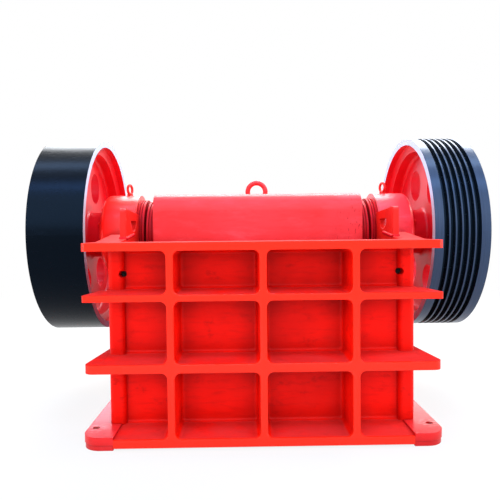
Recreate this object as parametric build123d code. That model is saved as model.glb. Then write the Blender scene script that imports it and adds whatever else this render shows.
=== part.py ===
from build123d import *
from math import atan2, cos, degrees, hypot, radians, sin, tan
import os

os.makedirs("parts", exist_ok=True)

# A jaw crusher with a long, narrow mouth: a ribbed cast frame on two foot rails, an eccentric
# shaft with a flywheel (-X) and a grooved sheave (+X), and a swinging jaw that the shaft carries.
# Millimetres, +Z up, the ribbed feed wall towards -Y. The origin is on the floor, under the
# middle of the whole machine. Depths are measured back from the front plane of the ribs.

# Frame, in plan
CHAMBER_WIDTH = 1200.0
CHEEK_THICKNESS = 25.0
SIDE_WALL = 43.0
WING_WIDTH = 67.0
FRONT_RIB_DEPTH = 190.0
FRONT_PANEL = 40.0
REAR_SLOPE = 53.0
REAR_PANEL = 45.0
REAR_RIB_DEPTH = 175.0

# Level ribs and the clear heights of the cells between them, from the ground up
RIB_GROUND_GAP = 9.0
BASE_RIB = 34.0
BOTTOM_CELL = 271.0
LOWER_RIB = 36.0
MIDDLE_CELL = 256.0
UPPER_RIB = 28.0
TOP_CELL = 178.0
TOP_RIB = 34.0

# Cells between the ribs
UPRIGHT_RIB = 29.0
UPRIGHT_SPACING = 378.0
REAR_UPRIGHT_SPACING = 240.0
REAR_UPRIGHTS = 5
CELL_CORNER = 26.0
CELL_DRAFT = 2.0
CELL_FILLET = 16.0
CASTING_EDGE = 3.0
COLUMN_WIDTH = 71.0
COLUMN_STEP = 28.0
COLUMN_CORNER = 24.0
COLUMN_HOLE_RADIUS = 14.5
COLUMN_HOLE_RISE = 73.0

# Wings of the ribs outside the side walls
TOP_WING_CORNER = 20.0
UPPER_WING_CORNER = 10.0
UPPER_WING_LENGTH = 184.0
UPPER_WING_TAPER = 25.0
LOWER_WING_CORNER = 36.0
SIDE_RIB_WIDTH = 33.0
SIDE_RIB_TAPER = 110.0

# Foot rails
RAIL_HEIGHT = 54.0
RAIL_LAP = 15.0
RAIL_WIDTH = 133.0
RAIL_CORNER = 78.0
RAIL_SOLE = 22.0
RAIL_SOLE_INSET = 3.0
FOOT_HOLE_RADIUS = 15.0
FOOT_HOLE_EDGE = 35.0
FOOT_HOLE_SET_BACK = 119.0

# Jaws
MOUTH_GAPE = 250.0
DISCHARGE_GAP = 55.0
JAW_THICKNESS = 58.0
JAW_DROP = 46.0
JAW_RISE = 42.0
JAW_LEDGE = 40.0
JAW_SIDE_GAP = 8.0
TOOTH_PITCH = 60.0
TOOTH_HEIGHT = 18.0
TOOTH_CREST = 0.3
CHEEK_RISE = 20.0
CHEEK_FOOT_LAP = 159.0
CHEEK_HEAD_LAP = 24.0

# Shaft
SHAFT_BEHIND_JAW = 278.0
SHAFT_RISE = 32.0
THROW = 10.0
JOURNAL_RADIUS = 78.0
ECCENTRIC_STEP = 18.0
RUNNING_FIT = 0.05
SEAT_GAP = 0.3

# Pitman
PITMAN_SIDE_GAP = 50.0
PITMAN_WALL = 104.0
HEAD_REACH = 7.0
HEAD_RISE = 10.0
HEAD_BEND = 80.0
HEAD_BACK = 30.0
GUARD_THICKNESS = 12.0
PITMAN_SHELF = 34.0
PITMAN_PLATE_LAP = 35.0
PITMAN_PLATE = 62.0
PITMAN_WEB = 44.0
PITMAN_WEBS = 5
TOE_THICKNESS = 150.0
TOE_HEIGHT = 180.0
TOE_LIP = 30.0
CLAMP_BAR = 26.0
EYE_RADIUS = 49.5
EYE_WIRE = 13.5
EYE_RISE = 21.0

# Bearing housings, covers and dust rings
HOUSING_WALL = 139.0
HOUSING_WIDTH = 189.0
HOUSING_CORNER = 26.0
COVER_STEP = 57.0
OUTER_COVER = 14.0
RING_STEP = 27.0
RING_GROOVE = 7.0
RING_GROOVE_DEPTH = 8.0
HOUSING_RING = 38.0
PITMAN_RING = 42.0
RING_GAP = 13.0
SADDLE_SHELL = 36.0
SADDLE_INSET = 52.0
SADDLE_FRONT = 134.0
SADDLE_REAR = 36.0
GUSSET_SPACING = 260.0

# Lifting gear
LUG_THICKNESS = 28.0
LUG_REACH = 524.0
LUG_RISE = 122.0
LUG_FALL = 30.0
LUG_CORNER = 14.0
LUG_EYE_WIDTH = 136.0
LUG_EYE_HEIGHT = 54.0
LUG_EYE_CORNER = 9.0
LUG_EYE_REACH = 344.0
LUG_EYE_RISE = 68.0
EYEBOLT_INSET = 69.0
EYEBOLT_HEIGHT = 66.0
EYEBOLT_RING = 24.5
EYEBOLT_WIRE = 7.0
EYEBOLT_COLLAR = 16.0
EYEBOLT_TURN = 18.0

# Wheels
WHEEL_RADIUS = 516.0
WHEEL_LAP = 5.0
RIM = 34.0
RIM_LIP = 37.0
RIM_STEP = 35.0
RIM_SLOPE = 12.0
WEB_RECESS = 108.0
WEB_THICKNESS = 45.0
WEB_FILLET = 18.0
WEB_HOLES = 6
WEB_HOLE_RADIUS = 86.0
WEB_HOLE_START = 51.0
HUB_WALL = 46.0
HUB_RECESS = 28.0
HUB_SET_BACK = 70.0
GROOVES = 6
GROOVE_PITCH = 31.0
GROOVE_WIDTH = 24.0
GROOVE_BOTTOM = 12.0
GROOVE_DEPTH = 22.0
INNER_LAND = 44.0
OUTER_LAND = 45.0
END_CAP_LAP = 27.0
END_CAP = 24.0

# Toggle gear
TOGGLE_THICKNESS = 40.0
TOGGLE_INSET = 70.0
TOGGLE_RISE = 119.0
TOGGLE_CLIMB = 70.0
FRONT_SEAT = 24.0
FRONT_SEAT_HEIGHT = 90.0
REAR_SEAT = 75.0
REAR_SEAT_HEIGHT = 124.0
REAR_SEAT_LIP = 12.0
SHIM_STACK = 60.0
SHIM_HEIGHT = 110.0
SEAT_LEDGE = 28.0
SEAT_LEDGE_DEPTH = 150.0

# Tension gear
ROD_RADIUS = 20.0
ROD_RISE = 34.0
ROD_TAIL = 53.4
ROD_HOLE_GAP = 6.0
ROD_EYE_RADIUS = 46.0
ROD_EYE_THICKNESS = 36.0
ROD_PIN_RADIUS = 15.0
ROD_PIN_GAP = 5.0
ROD_PIN_SET_BACK = 66.0
EAR_THICKNESS = 22.0
EAR_GAP = 8.0
EAR_RADIUS = 28.0
SPRING_RADIUS = 52.0
SPRING_WIRE = 8.0
SPRING_COILS = 6
SPRING_LENGTH = 210.0
SPRING_PLATE = 20.0
SPRING_SEAT_SET_BACK = 10.0
WASHER_RADIUS = 68.0
WASHER = 12.0
NUT_RADIUS = 34.0
NUT_HEIGHT = 34.0

# Half widths, worked out from the chamber outwards
INNER_HALF = CHAMBER_WIDTH / 2 + CHEEK_THICKNESS
OUTER_HALF = INNER_HALF + SIDE_WALL
WING_HALF = OUTER_HALF + WING_WIDTH
RAIL_OUTER_HALF = WING_HALF + RAIL_LAP
RAIL_INNER_HALF = RAIL_OUTER_HALF - RAIL_WIDTH
FOOT_HOLE_HALF = RAIL_OUTER_HALF - FOOT_HOLE_EDGE
PITMAN_HALF = CHAMBER_WIDTH / 2 - PITMAN_SIDE_GAP
PITMAN_PLATE_HALF = PITMAN_HALF + PITMAN_PLATE_LAP
TOGGLE_HALF = PITMAN_HALF - TOGGLE_INSET
HOUSING_INNER_HALF = PITMAN_HALF + PITMAN_RING + RING_GAP + HOUSING_RING
HOUSING_OUTER_HALF = HOUSING_INNER_HALF + HOUSING_WIDTH
SADDLE_OUTER_HALF = HOUSING_OUTER_HALF - SADDLE_INSET
EYEBOLT_HALF = HOUSING_INNER_HALF + EYEBOLT_INSET
WHEEL_WIDTH = INNER_LAND + (GROOVES - 1) * GROOVE_PITCH + GROOVE_WIDTH + OUTER_LAND
WHEEL_INNER_HALF = HOUSING_OUTER_HALF - WHEEL_LAP
WHEEL_OUTER_HALF = WHEEL_INNER_HALF + WHEEL_WIDTH
HUB_END_HALF = WHEEL_OUTER_HALF - HUB_SET_BACK

# Radii
ECCENTRIC_RADIUS = JOURNAL_RADIUS + ECCENTRIC_STEP
PITMAN_BARREL = ECCENTRIC_RADIUS + PITMAN_WALL
HEAD_FRONT = PITMAN_BARREL + HEAD_REACH
HEAD_TOP = PITMAN_BARREL + HEAD_RISE
HOUSING_RADIUS = JOURNAL_RADIUS + HOUSING_WALL
OUTER_COVER_RADIUS = HOUSING_RADIUS - COVER_STEP
RING_RADIUS = HOUSING_RADIUS - RING_STEP
RIM_BORE = WHEEL_RADIUS - RIM
RIM_INNER = RIM_BORE - RIM_LIP
HUB_RADIUS = JOURNAL_RADIUS + HUB_WALL
WEB_HOLE_CIRCLE = (RIM_INNER + HUB_RADIUS) / 2
END_CAP_RADIUS = JOURNAL_RADIUS + END_CAP_LAP

# Heights
BASE_RIB_HEIGHT = RIB_GROUND_GAP + BASE_RIB
LOWER_RIB_HEIGHT = BASE_RIB_HEIGHT + BOTTOM_CELL + LOWER_RIB
UPPER_RIB_HEIGHT = LOWER_RIB_HEIGHT + MIDDLE_CELL + UPPER_RIB
TOP_RIB_HEIGHT = UPPER_RIB_HEIGHT + TOP_CELL + TOP_RIB
SHAFT_HEIGHT = TOP_RIB_HEIGHT + SHAFT_RISE
THROW_HEIGHT = SHAFT_HEIGHT - THROW
JAW_TOP = TOP_RIB_HEIGHT - JAW_DROP
JAW_BOTTOM = RAIL_HEIGHT + JAW_RISE
CHEEK_BOTTOM = JAW_BOTTOM + CHEEK_RISE
LUG_HEIGHT = SHAFT_HEIGHT + LUG_RISE
TOGGLE_FRONT_HEIGHT = JAW_BOTTOM + TOGGLE_RISE
TOGGLE_REAR_HEIGHT = TOGGLE_FRONT_HEIGHT + TOGGLE_CLIMB
ROD_HEIGHT = JAW_BOTTOM + ROD_RISE

# Depths, from the front plane of the ribs backwards
PANEL_BACK = FRONT_RIB_DEPTH + FRONT_PANEL
JAW_FACE = PANEL_BACK + JAW_THICKNESS
TIP = JAW_FACE + DISCHARGE_GAP + JAW_THICKNESS
CROWN = JAW_FACE + MOUTH_GAPE + JAW_THICKNESS
LEAN = (CROWN - TIP) / (JAW_TOP - JAW_BOTTOM)
TOE_BACK = TIP + TOE_THICKNESS
SHAFT_DEPTH = CROWN + SHAFT_BEHIND_JAW
SADDLE_START = SHAFT_DEPTH - HOUSING_RADIUS - SADDLE_FRONT
SADDLE_END = SHAFT_DEPTH + HOUSING_RADIUS + SADDLE_REAR
REAR_PANEL_FRONT = SADDLE_END + REAR_SLOPE
REAR_PANEL_BACK = REAR_PANEL_FRONT + REAR_PANEL
FRAME_LENGTH = REAR_PANEL_BACK + REAR_RIB_DEPTH
LUG_FRONT = SHAFT_DEPTH - LUG_REACH
TOGGLE_FRONT_DEPTH = TOE_BACK + FRONT_SEAT + THROW + ROD_PIN_GAP
TOGGLE_REAR_DEPTH = REAR_PANEL_FRONT - SHIM_STACK - REAR_SEAT
ROD_SPACING = 3 * REAR_UPRIGHT_SPACING
SPRING_SEAT = FRAME_LENGTH - SPRING_SEAT_SET_BACK
NUT_BACK = SPRING_SEAT + SPRING_LENGTH + 2 * SEAT_GAP + WASHER + NUT_HEIGHT
ROD_END_DEPTH = NUT_BACK + ROD_TAIL
FRONT = -ROD_END_DEPTH / 2
SHAFT_Y = FRONT + SHAFT_DEPTH
SIDES = (("left", -1), ("right", 1))


# Ways of making solids that the pieces share

def depth(distance):
    return FRONT + distance


def across(outline, low, high):
    # An outline in Y and Z, made solid from X = low to X = high
    return extrude(Plane.YZ.offset(low) * outline, high - low)


def upward(outline, low, high):
    # An outline in X and Y, made solid from Z = low to Z = high
    return extrude(Plane.XY.offset(low) * outline, high - low)


def rearward(outline, low, high, taper=0.0):
    # An outline in X and Z, made solid from one depth back to another
    plane = Plane((0, depth(low), 0), x_dir=(-1, 0, 0), z_dir=(0, 1, 0))
    return extrude(plane * mirror(outline, Plane.YZ), high - low, taper=taper)


def polygon(*points):
    return make_face(Polyline(*points, close=True))


def block(x_low, x_high, depth_low, depth_high, z_low, z_high):
    size = (x_high - x_low, depth_high - depth_low, z_high - z_low)
    middle = ((x_low + x_high) / 2, depth((depth_low + depth_high) / 2), (z_low + z_high) / 2)
    return Pos(*middle) * Box(*size)


def shaft_rod(radius, low, high, height=SHAFT_HEIGHT):
    return across(Pos(SHAFT_Y, height) * Circle(radius), low, high)


def rearward_rod(radius, low, high):
    # A round bar along a tension rod's centre line
    return rearward(Pos(ROD_SPACING / 2, ROD_HEIGHT) * Circle(radius), low, high)


def on_side(shape, side):
    # A piece drawn on the +X side, put on the side asked for
    return shape if side > 0 else mirror(shape, Plane.YZ)


def both_sides(shape):
    return shape + mirror(shape, Plane.YZ)


# Front wall: level ribs with wings, uprights, a recessed panel and rounded corner columns

def front_ribs():
    # Upper face and thickness of each level rib, from the top down
    return (
        (TOP_RIB_HEIGHT, TOP_RIB),
        (UPPER_RIB_HEIGHT, UPPER_RIB),
        (LOWER_RIB_HEIGHT, LOWER_RIB),
        (BASE_RIB_HEIGHT, BASE_RIB),
    )


def wing(length, rear_half, corner, height, thickness):
    outline = polygon(
        (OUTER_HALF - 1, depth(0)),
        (WING_HALF, depth(0)),
        (rear_half, depth(length)),
        (OUTER_HALF - 1, depth(length)),
    )
    tip = outline.vertices().group_by(Axis.Y)[0].sort_by(Axis.X)[-1]
    return upward(fillet(tip, corner), height - thickness, height)


def lower_wing_half(distance):
    # Half width of the lower rib's wing at a depth, as it tapers to the side wall's rib
    share = distance / (PANEL_BACK + SIDE_RIB_TAPER)
    return WING_HALF - share * (WING_WIDTH - SIDE_RIB_WIDTH)


def cell_outline(x_low, x_high, z_low, z_high):
    # A rounded opening, with corners that fit between its walls
    width, height = x_high - x_low, z_high - z_low
    corner = min(CELL_CORNER, width / 3, height / 3)
    return Pos((x_low + x_high) / 2, (z_low + z_high) / 2) * RectangleRounded(width, height, corner)


def cell(x_low, x_high, z_low, z_high, length):
    # The space between two uprights and two ribs, with draft on its walls
    return rearward(cell_outline(x_low, x_high, z_low, z_high), 0, length, CELL_DRAFT)


def filleted_cell(x_low, x_high, z_low, z_high):
    space = cell(x_low, x_high, z_low, z_high, FRONT_RIB_DEPTH)
    floor = space.faces().sort_by(Axis.Y)[-1]
    tightest = min(edge.radius for edge in floor.edges().filter_by(GeomType.CIRCLE))
    return fillet(floor.edges(), min(CELL_FILLET, 0.9 * tightest))


def corner_column():
    column = block(
        OUTER_HALF - COLUMN_WIDTH,
        OUTER_HALF,
        FRONT_RIB_DEPTH - COLUMN_STEP,
        FRONT_RIB_DEPTH,
        BASE_RIB_HEIGHT,
        TOP_RIB_HEIGHT - TOP_RIB,
    )
    return fillet(column.edges().filter_by(Axis.Z).group_by(Axis.Y)[0], COLUMN_CORNER)


def column_hole():
    height = UPPER_RIB_HEIGHT + COLUMN_HOLE_RISE
    place = Pos(OUTER_HALF - COLUMN_WIDTH + COLUMN_HOLE_RADIUS / 2, height)
    return rearward(place * Circle(COLUMN_HOLE_RADIUS), 0, PANEL_BACK)


def corner_cell(low, high):
    # The space at the end of the wall, which runs out past the corner column
    space = filleted_cell(UPRIGHT_SPACING + UPRIGHT_RIB / 2, 2 * WING_HALF, low, high)
    return space & block(0, WING_HALF + CELL_CORNER, 0, FRONT_RIB_DEPTH, low, high)


def front_wall():
    ribs = front_ribs()
    edge = UPRIGHT_RIB / 2
    wall = block(-OUTER_HALF, OUTER_HALF, 0, PANEL_BACK, BASE_RIB_HEIGHT, TOP_RIB_HEIGHT)
    for (above, thickness), (low, _) in zip(ribs, ribs[1:]):
        high = above - thickness
        for start in (-UPRIGHT_SPACING, 0.0):
            wall -= filleted_cell(start + edge, start + UPRIGHT_SPACING - edge, low, high)
        wall -= both_sides(corner_cell(low, high))
    mouths = wall.faces().sort_by(Axis.Y)[0].inner_wires()
    wall = fillet([mouth_edge for mouth in mouths for mouth_edge in mouth.edges()], CASTING_EDGE)
    wall += both_sides(corner_column())
    wall += block(-RAIL_INNER_HALF, RAIL_INNER_HALF, 0, PANEL_BACK, RIB_GROUND_GAP,
                  BASE_RIB_HEIGHT)
    wall += both_sides(wing(PANEL_BACK, WING_HALF, TOP_WING_CORNER, *ribs[0]))
    wall += both_sides(wing(UPPER_WING_LENGTH, WING_HALF - UPPER_WING_TAPER,
                            UPPER_WING_CORNER, *ribs[1]))
    wall += both_sides(wing(PANEL_BACK, lower_wing_half(PANEL_BACK), LOWER_WING_CORNER, *ribs[2]))
    wall += block(-INNER_HALF, INNER_HALF, PANEL_BACK, PANEL_BACK + JAW_THICKNESS,
                  JAW_BOTTOM - JAW_LEDGE, JAW_BOTTOM)
    wall -= both_sides(block(RAIL_INNER_HALF, RAIL_OUTER_HALF, 0, PANEL_BACK, 0, RAIL_HEIGHT))
    return wall - both_sides(column_hole())


# Side walls: a plate with a half-round saddle, a top ledge, a level rib and gussets

def saddle(radius):
    return Pos(SHAFT_Y, SHAFT_HEIGHT) * Circle(radius)


def side_wall():
    top = (
        (depth(PANEL_BACK), TOP_RIB_HEIGHT),
        (depth(SADDLE_START), SHAFT_HEIGHT),
        (depth(SADDLE_END), SHAFT_HEIGHT),
        (depth(REAR_PANEL_FRONT), UPPER_RIB_HEIGHT),
    )
    foot = ((depth(REAR_PANEL_FRONT), RAIL_HEIGHT), (depth(PANEL_BACK), RAIL_HEIGHT))
    wall = across(polygon(*top, *foot), INNER_HALF, OUTER_HALF)
    underside = [(y, z - TOP_RIB) for y, z in reversed(top)]
    wall += across(polygon(*top, *underside), OUTER_HALF, WING_HALF)
    level_rib = polygon(
        (OUTER_HALF, depth(PANEL_BACK)),
        (lower_wing_half(PANEL_BACK), depth(PANEL_BACK)),
        (OUTER_HALF + SIDE_RIB_WIDTH, depth(PANEL_BACK + SIDE_RIB_TAPER)),
        (OUTER_HALF + SIDE_RIB_WIDTH, depth(REAR_PANEL_FRONT)),
        (OUTER_HALF, depth(REAR_PANEL_FRONT)),
    )
    wall += upward(level_rib, LOWER_RIB_HEIGHT - LOWER_RIB, LOWER_RIB_HEIGHT)
    lower_half = Pos(SHAFT_Y, SHAFT_HEIGHT / 2) * Rectangle(4 * HOUSING_RADIUS, SHAFT_HEIGHT)
    shell = saddle(HOUSING_RADIUS + SADDLE_SHELL) & lower_half
    wall += across(shell, OUTER_HALF, SADDLE_OUTER_HALF)
    for offset in (-GUSSET_SPACING / 2, GUSSET_SPACING / 2):
        wall += gusset(SHAFT_DEPTH + offset)
    return wall - across(saddle(HOUSING_RADIUS + SEAT_GAP), INNER_HALF, HOUSING_OUTER_HALF)


def gusset(middle):
    # An upright web that carries the saddle on the side wall and the foot rail
    saddle_foot = SHAFT_HEIGHT - HOUSING_RADIUS
    outline = polygon(
        (OUTER_HALF, RAIL_HEIGHT),
        (WING_HALF, RAIL_HEIGHT),
        (WING_HALF, LOWER_RIB_HEIGHT),
        (SADDLE_OUTER_HALF, saddle_foot),
        (OUTER_HALF, saddle_foot),
    )
    return rearward(outline, middle - UPRIGHT_RIB / 2, middle + UPRIGHT_RIB / 2)


def rail_outline(inset):
    # A long strip with rounded outer corners, drawn in by an inset on its outer sides
    outline = polygon(
        (RAIL_INNER_HALF, depth(inset)),
        (RAIL_OUTER_HALF - inset, depth(inset)),
        (RAIL_OUTER_HALF - inset, depth(FRAME_LENGTH - inset)),
        (RAIL_INNER_HALF, depth(FRAME_LENGTH - inset)),
    )
    return fillet(outline.vertices().group_by(Axis.X)[-1], RAIL_CORNER - inset)


def foot_rail():
    rail = upward(rail_outline(RAIL_SOLE_INSET), 0, RAIL_SOLE)
    rail += upward(rail_outline(0), RAIL_SOLE, RAIL_HEIGHT)
    for distance in (FOOT_HOLE_SET_BACK, FRAME_LENGTH - FOOT_HOLE_SET_BACK):
        hole = Pos(FOOT_HOLE_HALF, depth(distance)) * Circle(FOOT_HOLE_RADIUS)
        rail -= upward(hole, 0, RAIL_HEIGHT)
    return rail


# Rear wall: a ribbed panel below the shaft, with a ledge inside and spring plates outside

def rear_cell(x_low, x_high, z_low, z_high):
    outline = cell_outline(x_low, x_high, z_low, z_high)
    return rearward(outline, REAR_PANEL_BACK, FRAME_LENGTH)


def rear_wall():
    low, middle, top = RAIL_HEIGHT, LOWER_RIB_HEIGHT, UPPER_RIB_HEIGHT
    wall = block(-WING_HALF, WING_HALF, REAR_PANEL_FRONT, FRAME_LENGTH, low, top)
    corners = wall.edges().filter_by(Axis.Z).group_by(Axis.Y)[-1]
    wall = fillet(corners, LOWER_WING_CORNER)
    edge = UPRIGHT_RIB / 2
    last = REAR_UPRIGHT_SPACING * (REAR_UPRIGHTS - 1) / 2
    for z_low, z_high in ((low, middle - LOWER_RIB), (middle, top - UPPER_RIB)):
        for number in range(REAR_UPRIGHTS - 1):
            start = number * REAR_UPRIGHT_SPACING - last
            wall -= rear_cell(start + edge, start + REAR_UPRIGHT_SPACING - edge, z_low, z_high)
        wall -= both_sides(rear_cell(last + edge, 2 * WING_HALF, z_low, z_high))
        wall -= both_sides(block(OUTER_HALF, 2 * WING_HALF, REAR_PANEL_FRONT, REAR_PANEL_BACK,
                                 z_low, z_high))
    wall += block(-RAIL_INNER_HALF, RAIL_INNER_HALF, REAR_PANEL_FRONT, FRAME_LENGTH,
                  RIB_GROUND_GAP, RAIL_HEIGHT)
    wall += block(-TOGGLE_HALF, TOGGLE_HALF, REAR_PANEL_FRONT - SEAT_LEDGE_DEPTH, REAR_PANEL_FRONT,
                  rear_seat_bottom() - SEAT_LEDGE, rear_seat_bottom())
    rod_x, plate_half = ROD_SPACING / 2, REAR_UPRIGHT_SPACING / 2
    wall += both_sides(block(rod_x - plate_half, rod_x + plate_half,
                             SPRING_SEAT - SPRING_PLATE, SPRING_SEAT, low, middle - LOWER_RIB))
    hole = rearward_rod(ROD_RADIUS + ROD_HOLE_GAP, REAR_PANEL_FRONT, FRAME_LENGTH)
    return wall - both_sides(hole)


# Bearing housings, their rings and covers, and the lifting gear

def bearing_housing():
    barrel = shaft_rod(HOUSING_RADIUS, HOUSING_INNER_HALF, HOUSING_OUTER_HALF)
    rim = barrel.faces().sort_by(Axis.X)[-1].edges()
    barrel = fillet(rim, HOUSING_CORNER)
    return barrel - shaft_rod(JOURNAL_RADIUS + RUNNING_FIT, HOUSING_INNER_HALF, HOUSING_OUTER_HALF)


def outer_cover():
    low, high = HOUSING_OUTER_HALF, HOUSING_OUTER_HALF + OUTER_COVER
    return shaft_rod(OUTER_COVER_RADIUS, low, high) - shaft_rod(
        JOURNAL_RADIUS + RUNNING_FIT, low, high)


def labyrinth_ring(low, high, bore, height):
    # A dust ring with two grooves round it
    ring = shaft_rod(RING_RADIUS, low, high, height)
    for share in (1 / 3, 2 / 3):
        middle = low + share * (high - low)
        groove_low, groove_high = middle - RING_GROOVE / 2, middle + RING_GROOVE / 2
        ring -= shaft_rod(RING_RADIUS, groove_low, groove_high, height) - shaft_rod(
            RING_RADIUS - RING_GROOVE_DEPTH, groove_low, groove_high, height)
    return ring - shaft_rod(bore, low, high, height)


def lug_eye():
    # A half-moon opening with a level upper edge that a hook bears on
    half = LUG_EYE_WIDTH / 2
    radius = (half ** 2 + LUG_EYE_HEIGHT ** 2) / (2 * LUG_EYE_HEIGHT)
    moon = Pos(0, radius - LUG_EYE_HEIGHT) * Circle(radius)
    moon -= Pos(0, radius) * Rectangle(4 * radius, 2 * radius)
    ends = moon.vertices().group_by(Axis.Y)[-1]
    place = Pos(depth(SHAFT_DEPTH - LUG_EYE_REACH), SHAFT_HEIGHT + LUG_EYE_RISE)
    return place * fillet(ends, LUG_EYE_CORNER)


def lifting_lug():
    # A plate that stands on the side wall and butts against the bearing housing
    slope = (SHAFT_HEIGHT - TOP_RIB_HEIGHT) / (SADDLE_START - PANEL_BACK)
    outline = polygon(
        (depth(LUG_FRONT), TOP_RIB_HEIGHT + slope * (LUG_FRONT - PANEL_BACK)),
        (depth(SADDLE_START), SHAFT_HEIGHT),
        (SHAFT_Y, SHAFT_HEIGHT),
        (SHAFT_Y, LUG_HEIGHT - LUG_FALL),
        (depth(LUG_FRONT), LUG_HEIGHT),
    )
    front_top = outline.vertices().group_by(Axis.X)[0].sort_by(Axis.Y)[-1]
    outline = fillet(front_top, LUG_CORNER) - saddle(HOUSING_RADIUS + SEAT_GAP)
    return across(outline - lug_eye(), INNER_HALF, INNER_HALF + LUG_THICKNESS)


def housing_eyebolt():
    top = SHAFT_HEIGHT + HOUSING_RADIUS
    ring_height = top + EYEBOLT_HEIGHT - EYEBOLT_WIRE - EYEBOLT_RING
    collar_top = ring_height - EYEBOLT_RING
    ring = Rot(0, 0, EYEBOLT_TURN) * (Rot(0, 90, 0) * Torus(EYEBOLT_RING, EYEBOLT_WIRE))
    collar = Cylinder(EYEBOLT_COLLAR, collar_top - top)
    bolt = Pos(EYEBOLT_HALF, SHAFT_Y, ring_height) * ring
    bolt += Pos(EYEBOLT_HALF, SHAFT_Y, (top + collar_top) / 2) * collar
    return bolt - shaft_rod(HOUSING_RADIUS, HOUSING_INNER_HALF, HOUSING_OUTER_HALF)


# Jaw plates, with upright teeth that face each other, and the cheek plates beside them

def toothed_plate(width, height):
    # Back on Y = 0, teeth towards -Y, foot on Z = 0
    half = width / 2
    count = round(width / TOOTH_PITCH)
    step = width / count
    valley, crest = TOOTH_HEIGHT - JAW_THICKNESS, -JAW_THICKNESS
    flank = (1 - TOOTH_CREST) / 2
    points = [(half, 0), (-half, 0), (-half, valley)]
    for number in range(count):
        left = -half + number * step
        points += [
            (left + step * flank, crest),
            (left + step * (1 - flank), crest),
            (left + step, valley),
        ]
    return upward(polygon(*points), 0, height)


def fixed_jaw_plate():
    plate = toothed_plate(CHAMBER_WIDTH - 2 * SEAT_GAP, JAW_TOP - JAW_BOTTOM)
    return Pos(0, depth(PANEL_BACK), JAW_BOTTOM) * (Rot(0, 0, 180) * plate)


def lean_angle():
    return degrees(atan2(CROWN - TIP, JAW_TOP - JAW_BOTTOM))


def moving_jaw_plate():
    length = hypot(CROWN - TIP, JAW_TOP - JAW_BOTTOM)
    plate = toothed_plate(CHAMBER_WIDTH - 2 * JAW_SIDE_GAP, length)
    return Pos(0, depth(TIP), JAW_BOTTOM) * (Rot(-lean_angle(), 0, 0) * plate)


def cheek_plate():
    outline = polygon(
        (depth(PANEL_BACK), CHEEK_BOTTOM),
        (depth(TIP + CHEEK_FOOT_LAP), CHEEK_BOTTOM),
        (depth(CROWN + CHEEK_HEAD_LAP), JAW_TOP),
        (depth(PANEL_BACK), JAW_TOP),
    )
    return across(outline, INNER_HALF - CHEEK_THICKNESS, INNER_HALF)


# Pitman: a barrel round the eccentric, a face plate for the moving jaw, webs and a toe

def shelf():
    # Front edge of the shelf over the moving jaw, in depth and height
    return CROWN + LEAN * PITMAN_SHELF, JAW_TOP + PITMAN_SHELF


def head_outline(grow):
    # The head's flat front and rolled top, grown by the thickness of what covers it
    front = SHAFT_Y - HEAD_FRONT - grow
    top = THROW_HEIGHT + HEAD_TOP + grow
    outline = polygon(
        (front, shelf()[1]),
        (SHAFT_Y + HEAD_BACK, shelf()[1]),
        (SHAFT_Y + HEAD_BACK, top),
        (front, top),
    )
    corner = outline.vertices().group_by(Axis.X)[0].sort_by(Axis.Y)[-1]
    return fillet(corner, HEAD_BEND + grow)


def leaning_point(distance, height):
    # A point behind the jaw's back plane by a distance, at a height
    return depth(TIP + LEAN * (height - JAW_BOTTOM) + distance), height


def pitman_web():
    barrel_back = (SHAFT_Y + PITMAN_BARREL * cos(radians(35)),
                   THROW_HEIGHT - PITMAN_BARREL * sin(radians(35)))
    return polygon(
        leaning_point(PITMAN_PLATE / 2, JAW_BOTTOM),
        leaning_point(PITMAN_PLATE / 2, shelf()[1]),
        (SHAFT_Y, shelf()[1]),
        (SHAFT_Y, THROW_HEIGHT),
        barrel_back,
        (depth(TOE_BACK), JAW_BOTTOM + TOE_HEIGHT),
        (depth(TOE_BACK), JAW_BOTTOM),
    )


def pitman():
    # The ribbed lower part, which carries the moving jaw and the front toggle seat
    face_plate = polygon(
        leaning_point(0, JAW_BOTTOM),
        leaning_point(0, shelf()[1]),
        leaning_point(PITMAN_PLATE, shelf()[1]),
        leaning_point(PITMAN_PLATE, JAW_BOTTOM),
    )
    toe = polygon(
        leaning_point(PITMAN_PLATE / 2, JAW_BOTTOM),
        leaning_point(PITMAN_PLATE / 2, JAW_BOTTOM + TOE_HEIGHT),
        (depth(TOE_BACK), JAW_BOTTOM + TOE_HEIGHT),
        (depth(TOE_BACK), JAW_BOTTOM),
    )
    lean = radians(lean_angle())
    lip = polygon(
        leaning_point(0, JAW_BOTTOM),
        (depth(TIP - TOE_LIP * cos(lean)), JAW_BOTTOM + TOE_LIP * sin(lean)),
        (depth(TIP - TOE_LIP * cos(lean)), JAW_BOTTOM + TOE_LIP * sin(lean) - TOE_LIP),
        leaning_point(PITMAN_PLATE, JAW_BOTTOM - TOE_LIP / 2),
        leaning_point(PITMAN_PLATE, JAW_BOTTOM),
    )
    body = across(face_plate, -PITMAN_PLATE_HALF, PITMAN_PLATE_HALF)
    body += across(lip, -PITMAN_HALF, PITMAN_HALF)
    body += across(toe, -PITMAN_HALF, PITMAN_HALF)
    spread = 2 * PITMAN_HALF - PITMAN_WEB
    for number in range(PITMAN_WEBS):
        low = -PITMAN_HALF + spread * number / (PITMAN_WEBS - 1)
        body += across(pitman_web(), low, low + PITMAN_WEB)
    body += both_sides(rod_ears())
    return body - across(head_section(), -PITMAN_PLATE_HALF, PITMAN_PLATE_HALF)


def head_section():
    return head_outline(0) + Pos(SHAFT_Y, THROW_HEIGHT) * Circle(PITMAN_BARREL)


def pitman_head():
    # The barrel on the eccentric and the flat-fronted casting that the guard covers
    head = across(head_section(), -PITMAN_HALF, PITMAN_HALF)
    return head - shaft_rod(ECCENTRIC_RADIUS + RUNNING_FIT, -PITMAN_HALF, PITMAN_HALF, THROW_HEIGHT)


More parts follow.
